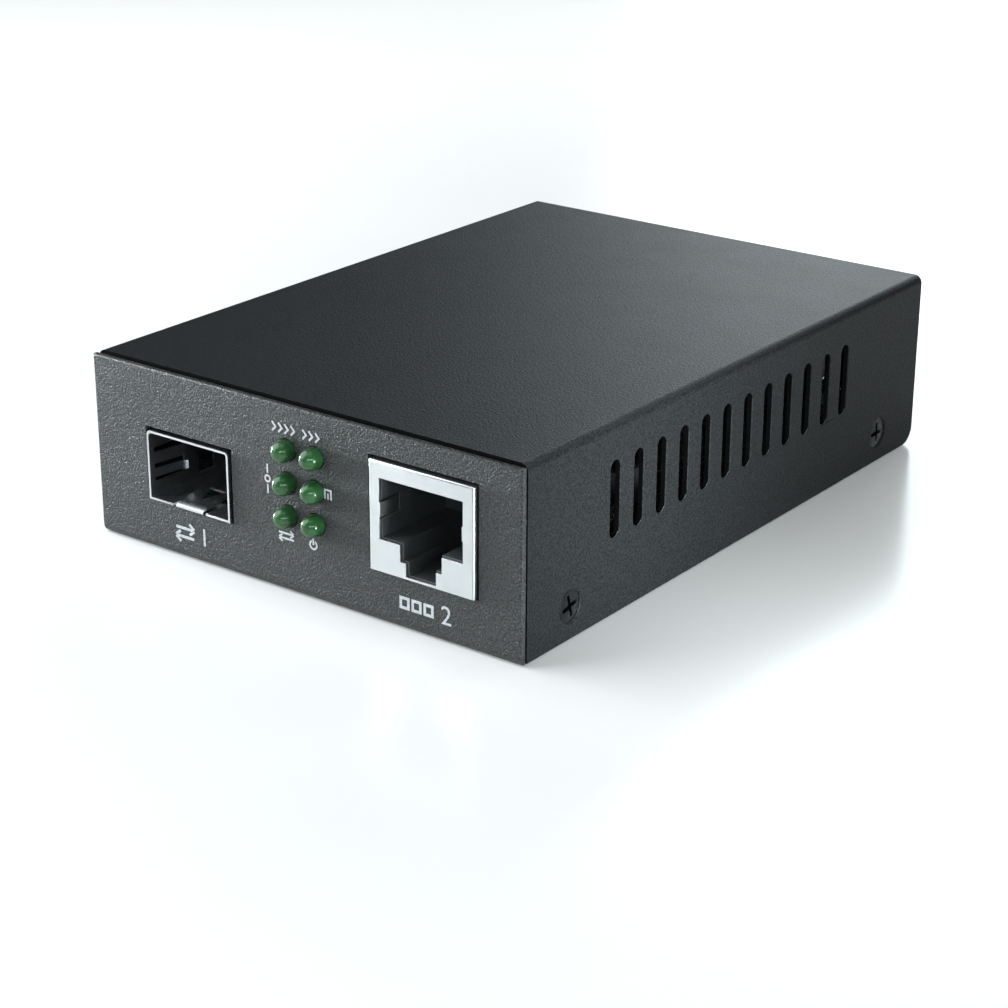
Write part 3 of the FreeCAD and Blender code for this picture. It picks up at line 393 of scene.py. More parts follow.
def addFinish(piece, finish, chosen):
    # a further finish on the faces that are chosen
    piece.data.materials.append(finish)
    for face in piece.data.polygons:
        if chosen(face):
            face.material_index = len(piece.data.materials) - 1


def evenShading(piece):
    # shading normals that follow the large faces
    weighted = piece.modifiers.new("even", "WEIGHTED_NORMAL")
    weighted.keep_sharp = True
    weighted.weight = 100
    settle(piece)


def lathe(profile, segments=48):
    # closed solid turned about Z from (radius, height) points in mm that start and end on the axis
    bm = bmesh.new()
    rings = []
    for radius, height in profile:
        if radius == 0:
            rings.append([bm.verts.new((0, 0, height * mm))])
            continue
        turns = [2 * math.pi * i / segments for i in range(segments)]
        rings.append([bm.verts.new((radius * mm * math.cos(t), radius * mm * math.sin(t), height * mm))
                      for t in turns])
    for low, high in zip(rings, rings[1:]):
        for i in range(segments):
            j = (i + 1) % segments
            ring = [low[i % len(low)], low[j % len(low)], high[j % len(high)], high[i % len(high)]]
            bm.faces.new(list(dict.fromkeys(ring)))
    return bm


def arcPoints(centre, radius, start, end, steps):
    # points on an arc from start to end, in degrees
    angles = [math.radians(start + (end - start) * i / steps) for i in range(steps + 1)]
    return [(centre[0] + radius * math.cos(a), centre[1] + radius * math.sin(a)) for a in angles]


def startTree(name, inputs):
    # inputs: label -> socket kind; returns the tree, its input node and the sockets' identifiers
    tree = bpy.data.node_groups.new(name, "GeometryNodeTree")
    tree.interface.new_socket("Geometry", in_out="INPUT", socket_type="NodeSocketGeometry")
    identifiers = {}
    for label, kind in inputs.items():
        identifiers[label] = tree.interface.new_socket(label, in_out="INPUT", socket_type=kind).identifier
    tree.interface.new_socket("Geometry", in_out="OUTPUT", socket_type="NodeSocketGeometry")
    return tree, addNode(tree, "NodeGroupInput"), identifiers


def endTree(tree, geometry, finish):
    real = addNode(tree, "GeometryNodeRealizeInstances", {"Geometry": geometry})
    coat = addNode(tree, "GeometryNodeSetMaterial",
                   {"Geometry": real.outputs["Geometry"], "Material": finish})
    addNode(tree, "NodeGroupOutput", {"Geometry": coat.outputs["Geometry"]})


def runTree(name, built, settings, points=(), edges=(), facings=(), sharpAngle=35):
    # builds a piece from a tree: points are the host's vertices in mm
    tree, identifiers, finish = built
    mesh = bpy.data.meshes.new(name + "Host")
    mesh.from_pydata([Vector(point) * mm for point in points], list(edges), [])
    if facings:
        facing = mesh.attributes.new("facing", "FLOAT_VECTOR", "POINT")
        for i, direction in enumerate(facings):
            facing.data[i].vector = direction
    piece = newPiece(name, mesh, finish)
    modifier = piece.modifiers.new("nodes", "NODES")
    modifier.node_group = tree
    for label, value in settings.items():
        modifier[identifiers[label]] = value
    settle(piece)
    piece.data.materials.clear()
    piece.data.materials.append(finish)
    bm = bmesh.new()
    bm.from_mesh(piece.data)
    bmesh.ops.recalc_face_normals(bm, faces=bm.faces)
    bm.to_mesh(piece.data)
    bm.free()
    shade(piece.data, sharpAngle)
    return piece


def scatterTree(name, finish):
    # sets an item on each of the host's points, its Z along the point's facing
    tree, source, identifiers = startTree(name, {
        "Item": "NodeSocketObject", "Size": "NodeSocketFloat",
        "Turn": "NodeSocketFloat", "Seed": "NodeSocketInt",
    })
    given = source.outputs
    item = addNode(tree, "GeometryNodeObjectInfo", {"Object": given["Item"]})
    named = addNode(tree, "GeometryNodeInputNamedAttribute", {"Name": "facing"}, data_type="FLOAT_VECTOR")
    align = addNode(tree, "FunctionNodeAlignRotationToVector", {"Vector": named.outputs["Attribute"]},
                    axis="Z")
    chance = addNode(tree, "FunctionNodeRandomValue", {3: given["Turn"], "Seed": given["Seed"]},
                     data_type="FLOAT")
    spin = addNode(tree, "FunctionNodeAxisAngleToRotation", {"Axis": (0, 0, 1), "Angle": chance.outputs[1]})
    turn = addNode(tree, "FunctionNodeRotateRotation", {
        "Rotation": align.outputs["Rotation"], "Rotate By": spin.outputs["Rotation"],
    }, rotation_space="LOCAL")
    scatter = addNode(tree, "GeometryNodeInstanceOnPoints", {
        "Points": given["Geometry"], "Instance": item.outputs["Geometry"],
        "Rotation": turn.outputs["Rotation"], "Scale": given["Size"],
    })
    endTree(tree, scatter.outputs["Instances"], finish)
    return tree, identifiers, finish


def scatterItems(name, item, finish, points, facings, turn=0.0, seed=1, sharpAngle=35):
    built = scatterTree(name + "Tree", finish)
    piece = runTree(name, built, {"Item": item, "Size": 1.0, "Turn": turn, "Seed": seed}, points,
                    facings=facings, sharpAngle=sharpAngle)
    bpy.data.objects.remove(item)
    return piece


def wireTree(name, finish):
    # a flat wire with rounded bends along each line of the host
    tree, source, identifiers = startTree(name, {
        "Thickness": "NodeSocketFloat", "Width": "NodeSocketFloat", "Bend": "NodeSocketFloat",
    })
    given = source.outputs
    curve = addNode(tree, "GeometryNodeMeshToCurve", {"Mesh": given["Geometry"]})
    fillet = addNode(tree, "GeometryNodeFilletCurve", mode="POLY")
    fill(fillet, {"Curve": curve.outputs["Curve"], "Radius": given["Bend"], "Count": 4, "Limit Radius": True})
    section = addNode(tree, "GeometryNodeCurvePrimitiveQuadrilateral",
                      {"Width": given["Width"], "Height": given["Thickness"]})
    wire = addNode(tree, "GeometryNodeCurveToMesh", {
        "Curve": fillet.outputs["Curve"], "Profile Curve": section.outputs["Curve"], "Fill Caps": True,
    })
    endTree(tree, wire.outputs["Mesh"], finish)
    return tree, identifiers, finish


def wires(name, finish, paths, thickness, width, bend):
    points, edges = [], []
    for path in paths:
        first = len(points)
        points += path
        edges += [(first + i, first + i + 1) for i in range(len(path) - 1)]
    settings = {"Thickness": thickness * mm, "Width": width * mm, "Bend": bend * mm}
    return runTree(name, wireTree(name + "Tree", finish), settings, points, edges, sharpAngle=40)


coverSet = {
    "edge": 0.2,            # mm, depth behind the front where the cover's front edge is painted black, a painted shadow of the gap above the panel
    "lip": 0.12,            # from the side where a slot's wall starts to be painted black as shade
    "wall": 1.2,
    "slots": (8.5, 24.0),   # heights between which the slots lie
    "face": 0.02,
    "rim": 0.17,            # width of the strip on the slots' walls whose upward faces are painted light as a highlight
}
coverFront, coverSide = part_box("top_cover")[0].y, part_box("top_cover")[1].x


def splitSlotWalls(bm):
    # an outer strip on the slots' walls, whose upward faces take a painted highlight
    for side in (1, -1):
        splitAt(bm, (side * (coverSide - coverSet["rim"] * mm), 0, 0), (side, 0, 0))


def slotDepth(face):
    # how far inside the cover's side a face at the height of the slots lies, in mm; -1 for the others
    low, high = coverSet["slots"]
    return (coverSide - abs(face.center.x)) / mm if low < face.center.z / mm < high else -1


# faces painted black as shade: the slots' walls and the cover's front edge above the panel
def isPaintedShadeEdge(face):
    inSlot = coverSet["lip"] < slotDepth(face) < coverSet["wall"] and abs(face.normal.x) < 0.6
    return inSlot or (face.center.y < coverFront + coverSet["edge"] * mm and face.normal.y < -0.5)


# upward faces of the slots' outer strip, painted light as a highlight
def isPaintedSlotHighlight(face):
    return coverSet["face"] < slotDepth(face) < coverSet["rim"] and abs(face.normal.x) < 0.3 \
        and face.normal.z > 0.5


coverShell = softCopy("coverShell", "top_cover", coverPaint, 0.14, 3.0, reshape=splitSlotWalls)
addFinish(coverShell, paintedShadeEdge, isPaintedShadeEdge)
addFinish(coverShell, paintedSlotHighlight, isPaintedSlotHighlight)
dress(coverShell, "powder_coat", "top_cover")
panelShell = softCopy("panelShell", "chassis", panelPaint, 0.10, 3.0)
dress(panelShell, "powder_coat", "chassis")
cageSet = {
    "lipLength": 1.3,       # mm, rounded entry of the latch tongue
    "lipRise": 0.45,
    "lipSteps": 6,
    "tongueHalf": 2.5,
    "tongueTop": 1.1,
    "tonguePeak": 7.5,
    "tongueZone": (12.5, 1.6),      # depth and height that the tongue stays within
    "fingerZone": (1.0, 7.0),       # distance from the side and depth that the fingers stay within
    "fingerHeights": (2.7, 4.3, 6.4),   # below, between and above the two fingers
    "fingerBend": 0.45,     # further inwards than the solid's
    "bendShare": 0.8,       # of the bend before the tip
    "tip": (5.35, 6.0),     # depths of the fingers' turned tip
    "tipZone": (5.34, 6.3),
    "tipBend": 0.52,        # of the lower finger's tip
    "rim": 0.05,            # depth of the rim around the mouth
}


def shapeCage(bm):
    # rounds the tongue's entry and presses the spring fingers further inwards
    s = cageSet
    low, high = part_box("sfp_cage")
    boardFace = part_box("circuit_board")[1].z
    middle, front = (low.x + high.x) / 2, low.y
    under, between, above = s["fingerHeights"]

    def inTongue(vert):
        depth, height = s["tongueZone"]
        return abs(vert.co.x - middle) < s["tongueHalf"] * mm and vert.co.z - boardFace < height * mm \
            and vert.co.y - front < depth * mm

    def inFinger(vert, start=0.0, end=s["fingerZone"][1]):
        inward = min(high.x - vert.co.x, vert.co.x - low.x) / mm
        return inward < s["fingerZone"][0] and start < (vert.co.y - front) / mm < end \
            and under < (vert.co.z - boardFace) / mm < above

    for i in range(1, s["lipSteps"] + 1):
        splitAt(bm, (0, front + s["lipLength"] * mm * i / s["lipSteps"], 0), (0, 1, 0), inTongue)
    for vert in bm.verts:
        depth = (vert.co.y - front) / mm
        if inTongue(vert) and 0 < depth < s["tonguePeak"] + close:
            if depth < s["lipLength"]:
                rise = s["lipRise"] * (1 - (1 - depth / s["lipLength"]) ** 2)
            else:
                share = (depth - s["lipLength"]) / (s["tonguePeak"] - s["lipLength"])
                rise = s["lipRise"] + (s["tongueTop"] - s["lipRise"]) * share
            vert.co.z += (rise - s["tongueTop"] * depth / s["tonguePeak"]) * mm
    tipStart, tipEnd = s["tip"]
    splitAt(bm, (0, front + tipStart * mm, 0), (0, 1, 0), inFinger)
    for vert in bm.verts:
        if inFinger(vert, *s["tipZone"]):
            share = ((vert.co.y - front) / mm - tipStart) / (tipEnd - tipStart)
            lower = (vert.co.z - boardFace) / mm < between
            further = s["tipBend"] if lower else s["fingerBend"] * (1 - s["bendShare"])
            bend = s["fingerBend"] * s["bendShare"] + further * share
            vert.co.x += (-bend if vert.co.x > middle else bend) * mm


cageShell = softCopy("cageShell", "sfp_cage", cageSheet, 0.09, 0.8, reshape=shapeCage)
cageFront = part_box("sfp_cage")[0].y
addFinish(cageShell, cageRim,
          lambda face: face.normal.y < -0.9 and face.center.y < cageFront + cageSet["rim"] * mm)
dress(cageShell, "bright_steel", "sfp_cage")
jackSet = {"edge": 0.28, "steps": 4, "wallStart": 0.6}   # mm, the walls are painted darker from this depth inwards, a painted shade
jackLow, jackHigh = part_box("rj45_shield")


def shapeJack(bm):
    # rounds the outer edges of the jack's face
    def allAt(edge, axis, place):
        return all(abs(vert.co[axis] - place) < close * mm for vert in edge.verts)

    edges = [edge for edge in bm.edges if allAt(edge, 1, jackLow.y)
             and (allAt(edge, 0, jackLow.x) or allAt(edge, 0, jackHigh.x) or allAt(edge, 2, jackHigh.z))]
    roundEdges(bm, edges, jackSet["edge"], jackSet["steps"])


jackShell = softCopy("jackShell", "rj45_shield", jackSheet, 0.06, 0.8, reshape=shapeJack)
# painted shade: the jack's walls behind its face take the darker copy of its sheet
addFinish(jackShell, jackWallShade,
          lambda face: face.center.y > jackLow.y + jackSet["wallStart"] * mm and abs(face.normal.y) < 0.5)
dress(jackShell, "bright_steel", "rj45_shield")
jackBlock = softCopy("jackBlock", "rj45_housing", jackMoulding, 0.10, 0.8)
dress(jackBlock, "black_plastic", "rj45_housing")
print("case and ports made")


caseScrewSet = {
    "headRadius": 2.29,
    "rimDrop": 0.20,        # rim below the cover's face
    "crownDrop": 0.05,      # middle below the cover's face
    "crownShare": 0.93,     # of the radius that the crown takes
    "crownSteps": 6,
    "rimTurn": ((0.985, 0.05), (1, 0.13)),   # share of the radius and drop below the rim
    "headDepth": 0.75,
    "neck": (0.1, 0.3),     # end of the head and start of the thread below the head's depth
    "end": 4.0,
    "endShare": 0.8,
    "shankRadius": 1.30,
    "threadRadius": 1.46,
    "pitch": 0.7,
    "crest": (0.45, 0.55),  # of the pitch
    "recessSpan": 3.1,
    "recessWidth": 0.46,
    "recessDepth": 0.75,
    "cutterTop": 0.3,
}
crossSet = {"top": (1.12, 2.3), "mouth": (1.06, 1.9), "point": (0.45, 0.5), "chamfer": 0.2}
# shares of the span and the width, and of the depth for the chamfer


def crossCutter(span, width, top, depth, finish):
    # cross with a chamfered mouth, narrowing towards its point
    bm = bmesh.new()
    levels = ((top, *crossSet["top"]), (0.0, *crossSet["mouth"]), (-depth * crossSet["chamfer"], 1.0, 1.0),
              (-depth, *crossSet["point"]))
    for turned in (False, True):
        rings = []
        for height, spanShare, widthShare in levels:
            half = (span / 2 * spanShare, width / 2 * widthShare)
            if turned:
                half = half[::-1]
            rings.append([bm.verts.new((x * half[0] * mm, y * half[1] * mm, height * mm))
                          for x, y in squareCorners])
        bm.faces.new(rings[0])
        bm.faces.new(rings[-1][::-1])
        for upper, lower in zip(rings, rings[1:]):
            for i in range(4):
                j = (i + 1) % 4
                bm.faces.new((upper[j], upper[i], lower[i], lower[j]))
    return fromBmesh("cutter", bm, finish)


def crossCut(item, span, width, top, depth):
    cutAway(item, crossCutter(span, width, top, depth, item.data.materials[0]))


def cutAway(item, cutter):
    cut = item.modifiers.new("cut", "BOOLEAN")
    cut.operation = "DIFFERENCE"
    cut.solver = "EXACT"
    cut.use_self = True
    cut.object = cutter
    settle(item)
    bpy.data.objects.remove(cutter)


def caseScrew():
    s = caseScrewSet
    rim, crown, drop, head = s["headRadius"], s["crownDrop"], s["rimDrop"], s["headDepth"]
    profile = [(0, -crown)]
    for i in range(1, s["crownSteps"] + 1):
        share = i / s["crownSteps"]
        profile.append((rim * s["crownShare"] * share, -crown - (drop - crown) * share ** 2))
    profile += [(rim * share, -drop - further) for share, further in s["rimTurn"]]
    profile.append((s["shankRadius"], -head - s["neck"][0]))
    height = -head - s["neck"][1]
    while height - s["pitch"] > -s["end"]:
        profile.append((s["shankRadius"], height))
        profile += [(s["threadRadius"], height - s["pitch"] * share) for share in s["crest"]]
        height -= s["pitch"]
        profile.append((s["shankRadius"], height))
    profile += [(s["shankRadius"] * s["endShare"], -s["end"]), (0, -s["end"])]
    item = fromBmesh("caseScrewItem", lathe(profile), screwFinish)
    crossCut(item, s["recessSpan"], s["recessWidth"], s["cutterTop"], s["recessDepth"])
    return item


def solidBoxes(node):
    # low and high corner of each separate solid of a node, in mm
    bm = mergedCopy(node)
    seen = set()
    boxes = []
    for start in bm.verts:
        if start in seen:
            continue
        seen.add(start)
        group, queue = [], [start]
        while queue:
            vert = queue.pop()
            group.append(vert.co.copy())
            for edge in vert.link_edges:
                other = edge.other_vert(vert)
                if other not in seen:
                    seen.add(other)
                    queue.append(other)
        low = Vector(min(co[k] for co in group) for k in range(3))
        high = Vector(max(co[k] for co in group) for k in range(3))
        boxes.append((low / mm, high / mm))
    bm.free()
    return boxes


screwPoints, screwFacings = [], []
for low, high in solidBoxes("case_screws"):
    side = 1 if low.x > 0 else -1
    outer = high.x if side > 0 else low.x
    screwPoints.append((outer, (low.y + high.y) / 2, (low.z + high.z) / 2))
    screwFacings.append((side, 0, 0))
caseScrews = scatterItems("caseScrews", caseScrew(), screwFinish, screwPoints, screwFacings, turn=0.3, seed=4)
dress(caseScrews, "dark_screw", "case_screws")
print("case screws made")


lensSet = {"radius": 1.45, "rimRadius": 1.9, "rimLength": 0.9, "length": 5.9, "fillet": 0.12, "dome": 86}
# mm, and degrees of the dome before its tip


def lampLens():
    # turned about Z, the dome up, its back at zero
    s = lensSet
    fillet, edge = s["fillet"], s["rimRadius"] - s["fillet"]
    profile = [(0, 0), (edge, 0)]
    profile += arcPoints((edge, fillet), fillet, -90, 0, 3)
    profile += arcPoints((edge, s["rimLength"] - fillet), fillet, 0, 90, 3)
    profile += [(s["radius"], s["rimLength"])]
    profile += arcPoints((0, s["length"] - s["radius"]), s["radius"], 0, s["dome"], 14)
    profile += [(0, s["length"])]
    return fromBmesh("lampLensItem", lathe(profile), lensFinish)


lampNodes = sorted(name for name in nodes if name.startswith("lamp_") and name[5:].isdigit())
lampPoints = []
for name in lampNodes:
    low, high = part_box(name)
    lampPoints.append(((low.x + high.x) / 2 / mm, high.y / mm, (low.z + high.z) / 2 / mm))
lampLenses = scatterItems("lampLenses", lampLens(), lensFinish, lampPoints,
                          [(0, -1, 0)] * len(lampPoints), turn=6.28, seed=2)
dress(lampLenses, "green_lens", *lampNodes)
print("lamps made")


markSet = {
    "lift": 0.012,          # mm above the paint
    "thickness": 0.015,
    "line": 0.26,           # stroke of the small signs
    "boldLine": 0.40,       # stroke of the port signs
    "smallHeight": 1.25,
    "portHeight": 2.5,
    "capital": 0.7,         # height of a capital as a share of the font's size
    "mitre": 0.3,           # sharpest corner's share of the stroke
    "chevrons": ((-1.85, 22.46, 4), (2.72, 22.42, 3)),   # x, z and how many
    "chevronPitch": 1.05,
    "chevron": (-0.28, 0.32),
    "combPitch": 1.9,
    "numbers": (("1", (-16.4, 3.73)), ("2", (24.1, 3.66))),
}
arrowSet = {"tip": 0.9, "near": (0.2, 0.25), "wing": 0.8}   # shares of the stroke, the wing's of the head
signs = [
    # centre, stroke, then lines, arrows (start, end, head) and rings (radius, from, to) from the centre
    ((-4.75, 15.06), "line", [[(0, 0.75), (0, 2)], [(0, -2), (0, -0.75)]], [], [(0.42, 0, 360)]),   # fibre
    ((5.37, 15.23), "line", [[(-0.5, -0.62), (-0.5, 0.62), (0.5, 0.62), (0.5, -0.62)],
                             [(0, -0.62), (0, 0.2)]], [], []),   # cable
    ((-1.84, 7.84), "line", [], [((-1.25, 0.36), (1.05, 0.36), 0.6),
                                 ((1.25, -0.36), (-1.05, -0.36), 0.6)], []),   # two ways
    ((2.72, 7.77), "line", [[(0, 0), (0, 0.85)]], [], [(0.56, 120, 420)]),   # power
    ((-18.59, 3.73), "boldLine", [], [((-2.9, 0.62), (0.1, 0.62), 0.95),
                                      ((0.3, -0.62), (-2.7, -0.62), 0.95)], []),   # fibre port
]
combCentre = (20.83, 3.66)   # copper port: three open boxes with a bar across
combLines = [[(-3.9, -0.75), (-3.9, 0.75), (-2.7, 0.75), (-2.7, -0.75)], [(-3.68, -0.55), (-2.92, -0.55)]]
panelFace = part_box("chassis")[0].y / mm


def markOutline(points, width):
    # flat band of one width along a line of (x, z) points, with mitred corners
    left, right = [], []
    for i, point in enumerate(points):
        before = Vector(points[max(i - 1, 0)])
        after = Vector(points[min(i + 1, len(points) - 1)])
        here = Vector(point)
        steps = [step.normalized() for step in (here - before, after - here) if step.length > 0]
        along = sum(steps, Vector((0, 0))).normalized()
        across = Vector((-along.y, along.x))
        reach = width / 2 / max(markSet["mitre"], across.dot(Vector((-steps[0].y, steps[0].x))))
        left.append(here + across * reach)
        right.append(here - across * reach)
    return left + right[::-1]


def addPlate(bm, outline):
    # thin raised plate of the given (x, z) outline on the panel's face
    faces = []
    for depth in (markSet["lift"], markSet["lift"] + markSet["thickness"]):
        faces.append([bm.verts.new((x * mm, (panelFace - depth) * mm, z * mm)) for x, z in outline])
    bm.faces.new(faces[0])
    bm.faces.new(faces[1][::-1])
    for i in range(len(outline)):
        j = (i + 1) % len(outline)
        bm.faces.new((faces[0][j], faces[0][i], faces[1][i], faces[1][j]))


def addLine(bm, points, width):
    addPlate(bm, markOutline(points, width))


def addRing(bm, centre, radius, width, start, end, steps=40):
    # ring or arc made of two bands that meet end to end
    half = (start + end) / 2
    for low, high in ((start, half), (half, end)):
        outer = arcPoints(centre, radius + width / 2, low, high, steps // 2)
        inner = arcPoints(centre, radius - width / 2, high, low, steps // 2)
        addPlate(bm, outer + inner)


def addArrow(bm, start, end, head, width):
    # line with an open arrow head at its end
    addLine(bm, [start, end], width)
    along = (Vector(end) - Vector(start)).normalized()
    across = Vector((-along.y, along.x))
    tip = Vector(end) + along * width * arrowSet["tip"]
    back, out = (share * width for share in arrowSet["near"])
    for side in (-1, 1):
        near = tip - along * back + across * side * out
        far = tip - along * head + across * side * head * arrowSet["wing"]
        addLine(bm, [far, near], width)


def addDigit(text, centre, height):
    # a plain number as a mesh, its capitals as high as height
    curve = bpy.data.curves.new("digit", "FONT")
    curve.body = text
    curve.align_x = "CENTER"
    curve.align_y = "CENTER"
    curve.size = height * mm / markSet["capital"]
    curve.extrude = markSet["thickness"] / 2 * mm
    digit = newObject("digit", curve)
    graph = bpy.context.evaluated_depsgraph_get()
    mesh = bpy.data.meshes.new_from_object(digit.evaluated_get(graph), depsgraph=graph)
    bpy.data.objects.remove(digit)
    depth = markSet["lift"] + markSet["thickness"] / 2
    mesh.transform(Matrix.Translation((centre[0] * mm, (panelFace - depth) * mm, centre[1] * mm))
                   @ Matrix.Rotation(math.radians(90), 4, "X"))
    return mesh


def printedMarks():
    s = markSet
    bm = bmesh.new()
    half = s["smallHeight"] / 2
    back, front = s["chevron"]
    for centreX, centreZ, count in s["chevrons"]:
        for i in range(count):
            x = centreX + (i - (count - 1) / 2) * s["chevronPitch"]
            corners = [(x + back, centreZ - half), (x + front, centreZ), (x + back, centreZ + half)]
            addLine(bm, corners, s["line"])
    combs = [((combCentre[0] + i * s["combPitch"], combCentre[1]), "boldLine", combLines, [], [])
             for i in range(3)]
    for centre, stroke, lines, arrows, rings in signs + combs:
        centre, width = Vector(centre), s[stroke]
        for points in lines:
            addLine(bm, [centre + Vector(point) for point in points], width)
        for start, end, head in arrows:
            addArrow(bm, centre + Vector(start), centre + Vector(end), head, width)
        for radius, start, end in rings:
            addRing(bm, centre, radius, width, start, end)
    for text, centre in s["numbers"]:
        mesh = addDigit(text, centre, s["portHeight"])
        bm.from_mesh(mesh)
        bpy.data.meshes.remove(mesh)
    return fromBmesh("printedMarks", bm, inkFinish, 20)


marks = printedMarks()
dress(marks, "print_ink")
print("marks made")


wireSet = {
    "contactWidth": 0.4, "contactThickness": 0.35, "contactNose": 3.2, "contactSlope": (0.7, 1.05),
    "contactTip": (10.0, 5.35),
    "leadThickness": 0.15, "leadShoulder": 0.5, "leadStep": 0.1, "padReach": 0.25,
    "padLift": 0.02, "lampLead": 0.45, "plugThickness": 0.2, "plugFoot": 0.9,
    "springThickness": 0.3, "springWidth": 2.2, "springBow": 0.35, "windingWire": 0.2,
}   # mm
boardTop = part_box("circuit_board")[1].z / mm


def jackContactPaths():
    # up from the board, forward under the roof, back down into the port
    s = wireSet
    low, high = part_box("rj45_shield")
    front, top = low.y / mm, high.z / mm
    paths = []
    for solidLow, solidHigh in solidBoxes("rj45_contacts"):
        x = (solidLow.x + solidHigh.x) / 2
        leg, run = solidHigh.y - s["contactThickness"] / 2, solidHigh.z - s["contactThickness"] / 2
        nose = front + s["contactNose"]
        paths.append([(x, leg, solidLow.z), (x, leg, run), (x, nose, run),
                      (x, nose + s["contactSlope"][0], run - s["contactSlope"][1]),
                      (x, front + s["contactTip"][0], top - s["contactTip"][1])])
    return paths


def lampLeadPaths():
    half = wireSet["lampLead"] / 2
    paths = []
    for name in lampLeadNodes:
        for low, high in solidBoxes(name):
            x, y, z = (low.x + high.x) / 2, high.y - half, high.z - half
            paths.append([(x, low.y, z), (x, y, z), (x, y, low.z)])
    return paths


def plugContactPaths():
    half = wireSet["plugThickness"] / 2
    paths = []
    for low, high in solidBoxes("sfp_connector_contacts"):
        x = (low.x + high.x) / 2
        if high.z - low.z < 4 * half:
            paths.append([(x, low.y, (low.z + high.z) / 2), (x, high.y, (low.z + high.z) / 2)])
        else:
            drop = high.y - wireSet["plugFoot"]
            paths.append([(x, low.y, high.z - half), (x, drop, high.z - half), (x, drop, low.z + half),
                          (x, high.y, low.z + half)])
    return paths


def gullPaths(package, leads):
    # out of the package's side, down and out to the foot; also the pads under the feet
    s = wireSet
    half = s["leadThickness"] / 2
    low, high = (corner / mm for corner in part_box(package))
    paths, pads = [], []
    for solidLow, solidHigh in solidBoxes(leads):
        middle = (solidLow + solidHigh) / 2
        axis = 0 if middle.x < low.x or middle.x > high.x else 1
        side = 1 if middle[axis] > (low[axis] + high[axis]) / 2 else -1
        inner = (high if side > 0 else low)[axis]
        outer = (solidHigh if side > 0 else solidLow)[axis]
        knee = inner + side * s["leadShoulder"]

        def place(along, height):
            point = [middle.x, middle.y, height]
            point[axis] = along
            return tuple(point)
        step, reach, level = side * s["leadStep"], side * s["padReach"], boardTop + s["padLift"]
        paths.append([place(inner - step, solidHigh.z - half), place(knee, solidHigh.z - half),
                      place(knee + step, solidLow.z + half), place(outer, solidLow.z + half)])
        pads.append([place(knee - reach, level), place(outer + reach, level)])
    return paths, pads


def springPath():
    s = wireSet
    low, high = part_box("inlet_spring")
    y, x = low.y / mm + s["springThickness"] / 2, (low.x + high.x) / 2 / mm
    level, tip = high.z / mm - s["springBow"] - s["springThickness"] / 2, high.y / mm
    third = (tip - y) / 3
    return [(x, y, low.z / mm), (x, y, level), (x, y + third, level),
            (x, y + 2 * third, level + s["springBow"]), (x, tip, level)]


def windingTree(finish):
    # round wire wound in a single layer
    tree, source, identifiers = startTree("chokeWindingTree", {
        "Turns": "NodeSocketFloat", "Radius": "NodeSocketFloat",
        "Height": "NodeSocketFloat", "Wire": "NodeSocketFloat",
    })
    given = source.outputs
    coil = addNode(tree, "GeometryNodeCurveSpiral", {
        "Resolution": 40, "Rotations": given["Turns"], "Height": given["Height"],
        "Start Radius": given["Radius"], "End Radius": given["Radius"],
    })
    section = addNode(tree, "GeometryNodeCurvePrimitiveCircle", {"Resolution": 10, "Radius": given["Wire"]})
    wire = addNode(tree, "GeometryNodeCurveToMesh", {
        "Curve": coil.outputs["Curve"], "Profile Curve": section.outputs["Curve"], "Fill Caps": True,
    })
    endTree(tree, wire.outputs["Mesh"], finish)
    return tree, identifiers, finish


def chokeWinding():
    low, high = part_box("choke_winding")
    wire = wireSet["windingWire"] * mm
    height = high.z - low.z - 2 * wire
    settings = {"Turns": round(height / (2 * wire)), "Radius": (high.x - low.x) / 2 - wire, "Height": height,
                "Wire": wire}
    piece = runTree("chokeWinding", windingTree(copperFinish), settings, sharpAngle=60)
    middle = (low + high) / 2
    piece.data.transform(Matrix.Translation((middle.x, middle.y, low.z + wire)))
    return piece


lampLeadNodes = sorted(name for name in nodes if name.startswith("lamp_leads_"))
s = wireSet
dress(wires("jackContacts", goldFinish, jackContactPaths(), s["contactThickness"], s["contactWidth"], 0.5),
      "gold", "rj45_contacts")
dress(wires("lampLeads", tinFinish, lampLeadPaths(), s["lampLead"], s["lampLead"], 0.6),
      "tin", *lampLeadNodes)
dress(wires("plugContacts", goldFinish, plugContactPaths(), s["plugThickness"], 0.3, 0.2),
      "gold", "sfp_connector_contacts")
dress(wires("inletSpring", tinFinish, [springPath()], s["springThickness"], s["springWidth"], 0.8),
      "tin", "inlet_spring")
dress(chokeWinding(), "copper_wire", "choke_winding")
allPads = []
for package, width in (("converter_chip", 0.35), ("line_transformer", 0.4), ("memory_chip", 0.4)):
    paths, pads = gullPaths(package, package + "_leads")
    dress(wires(package.split("_")[0] + "Leads", tinFinish, paths, s["leadThickness"], width, 0.12),
          "tin", package + "_leads")
    allPads += pads
dress(wires("solderPads", tinFinish, allPads, 0.05, 0.46, 0.0), "tin")
print("contacts and leads made")


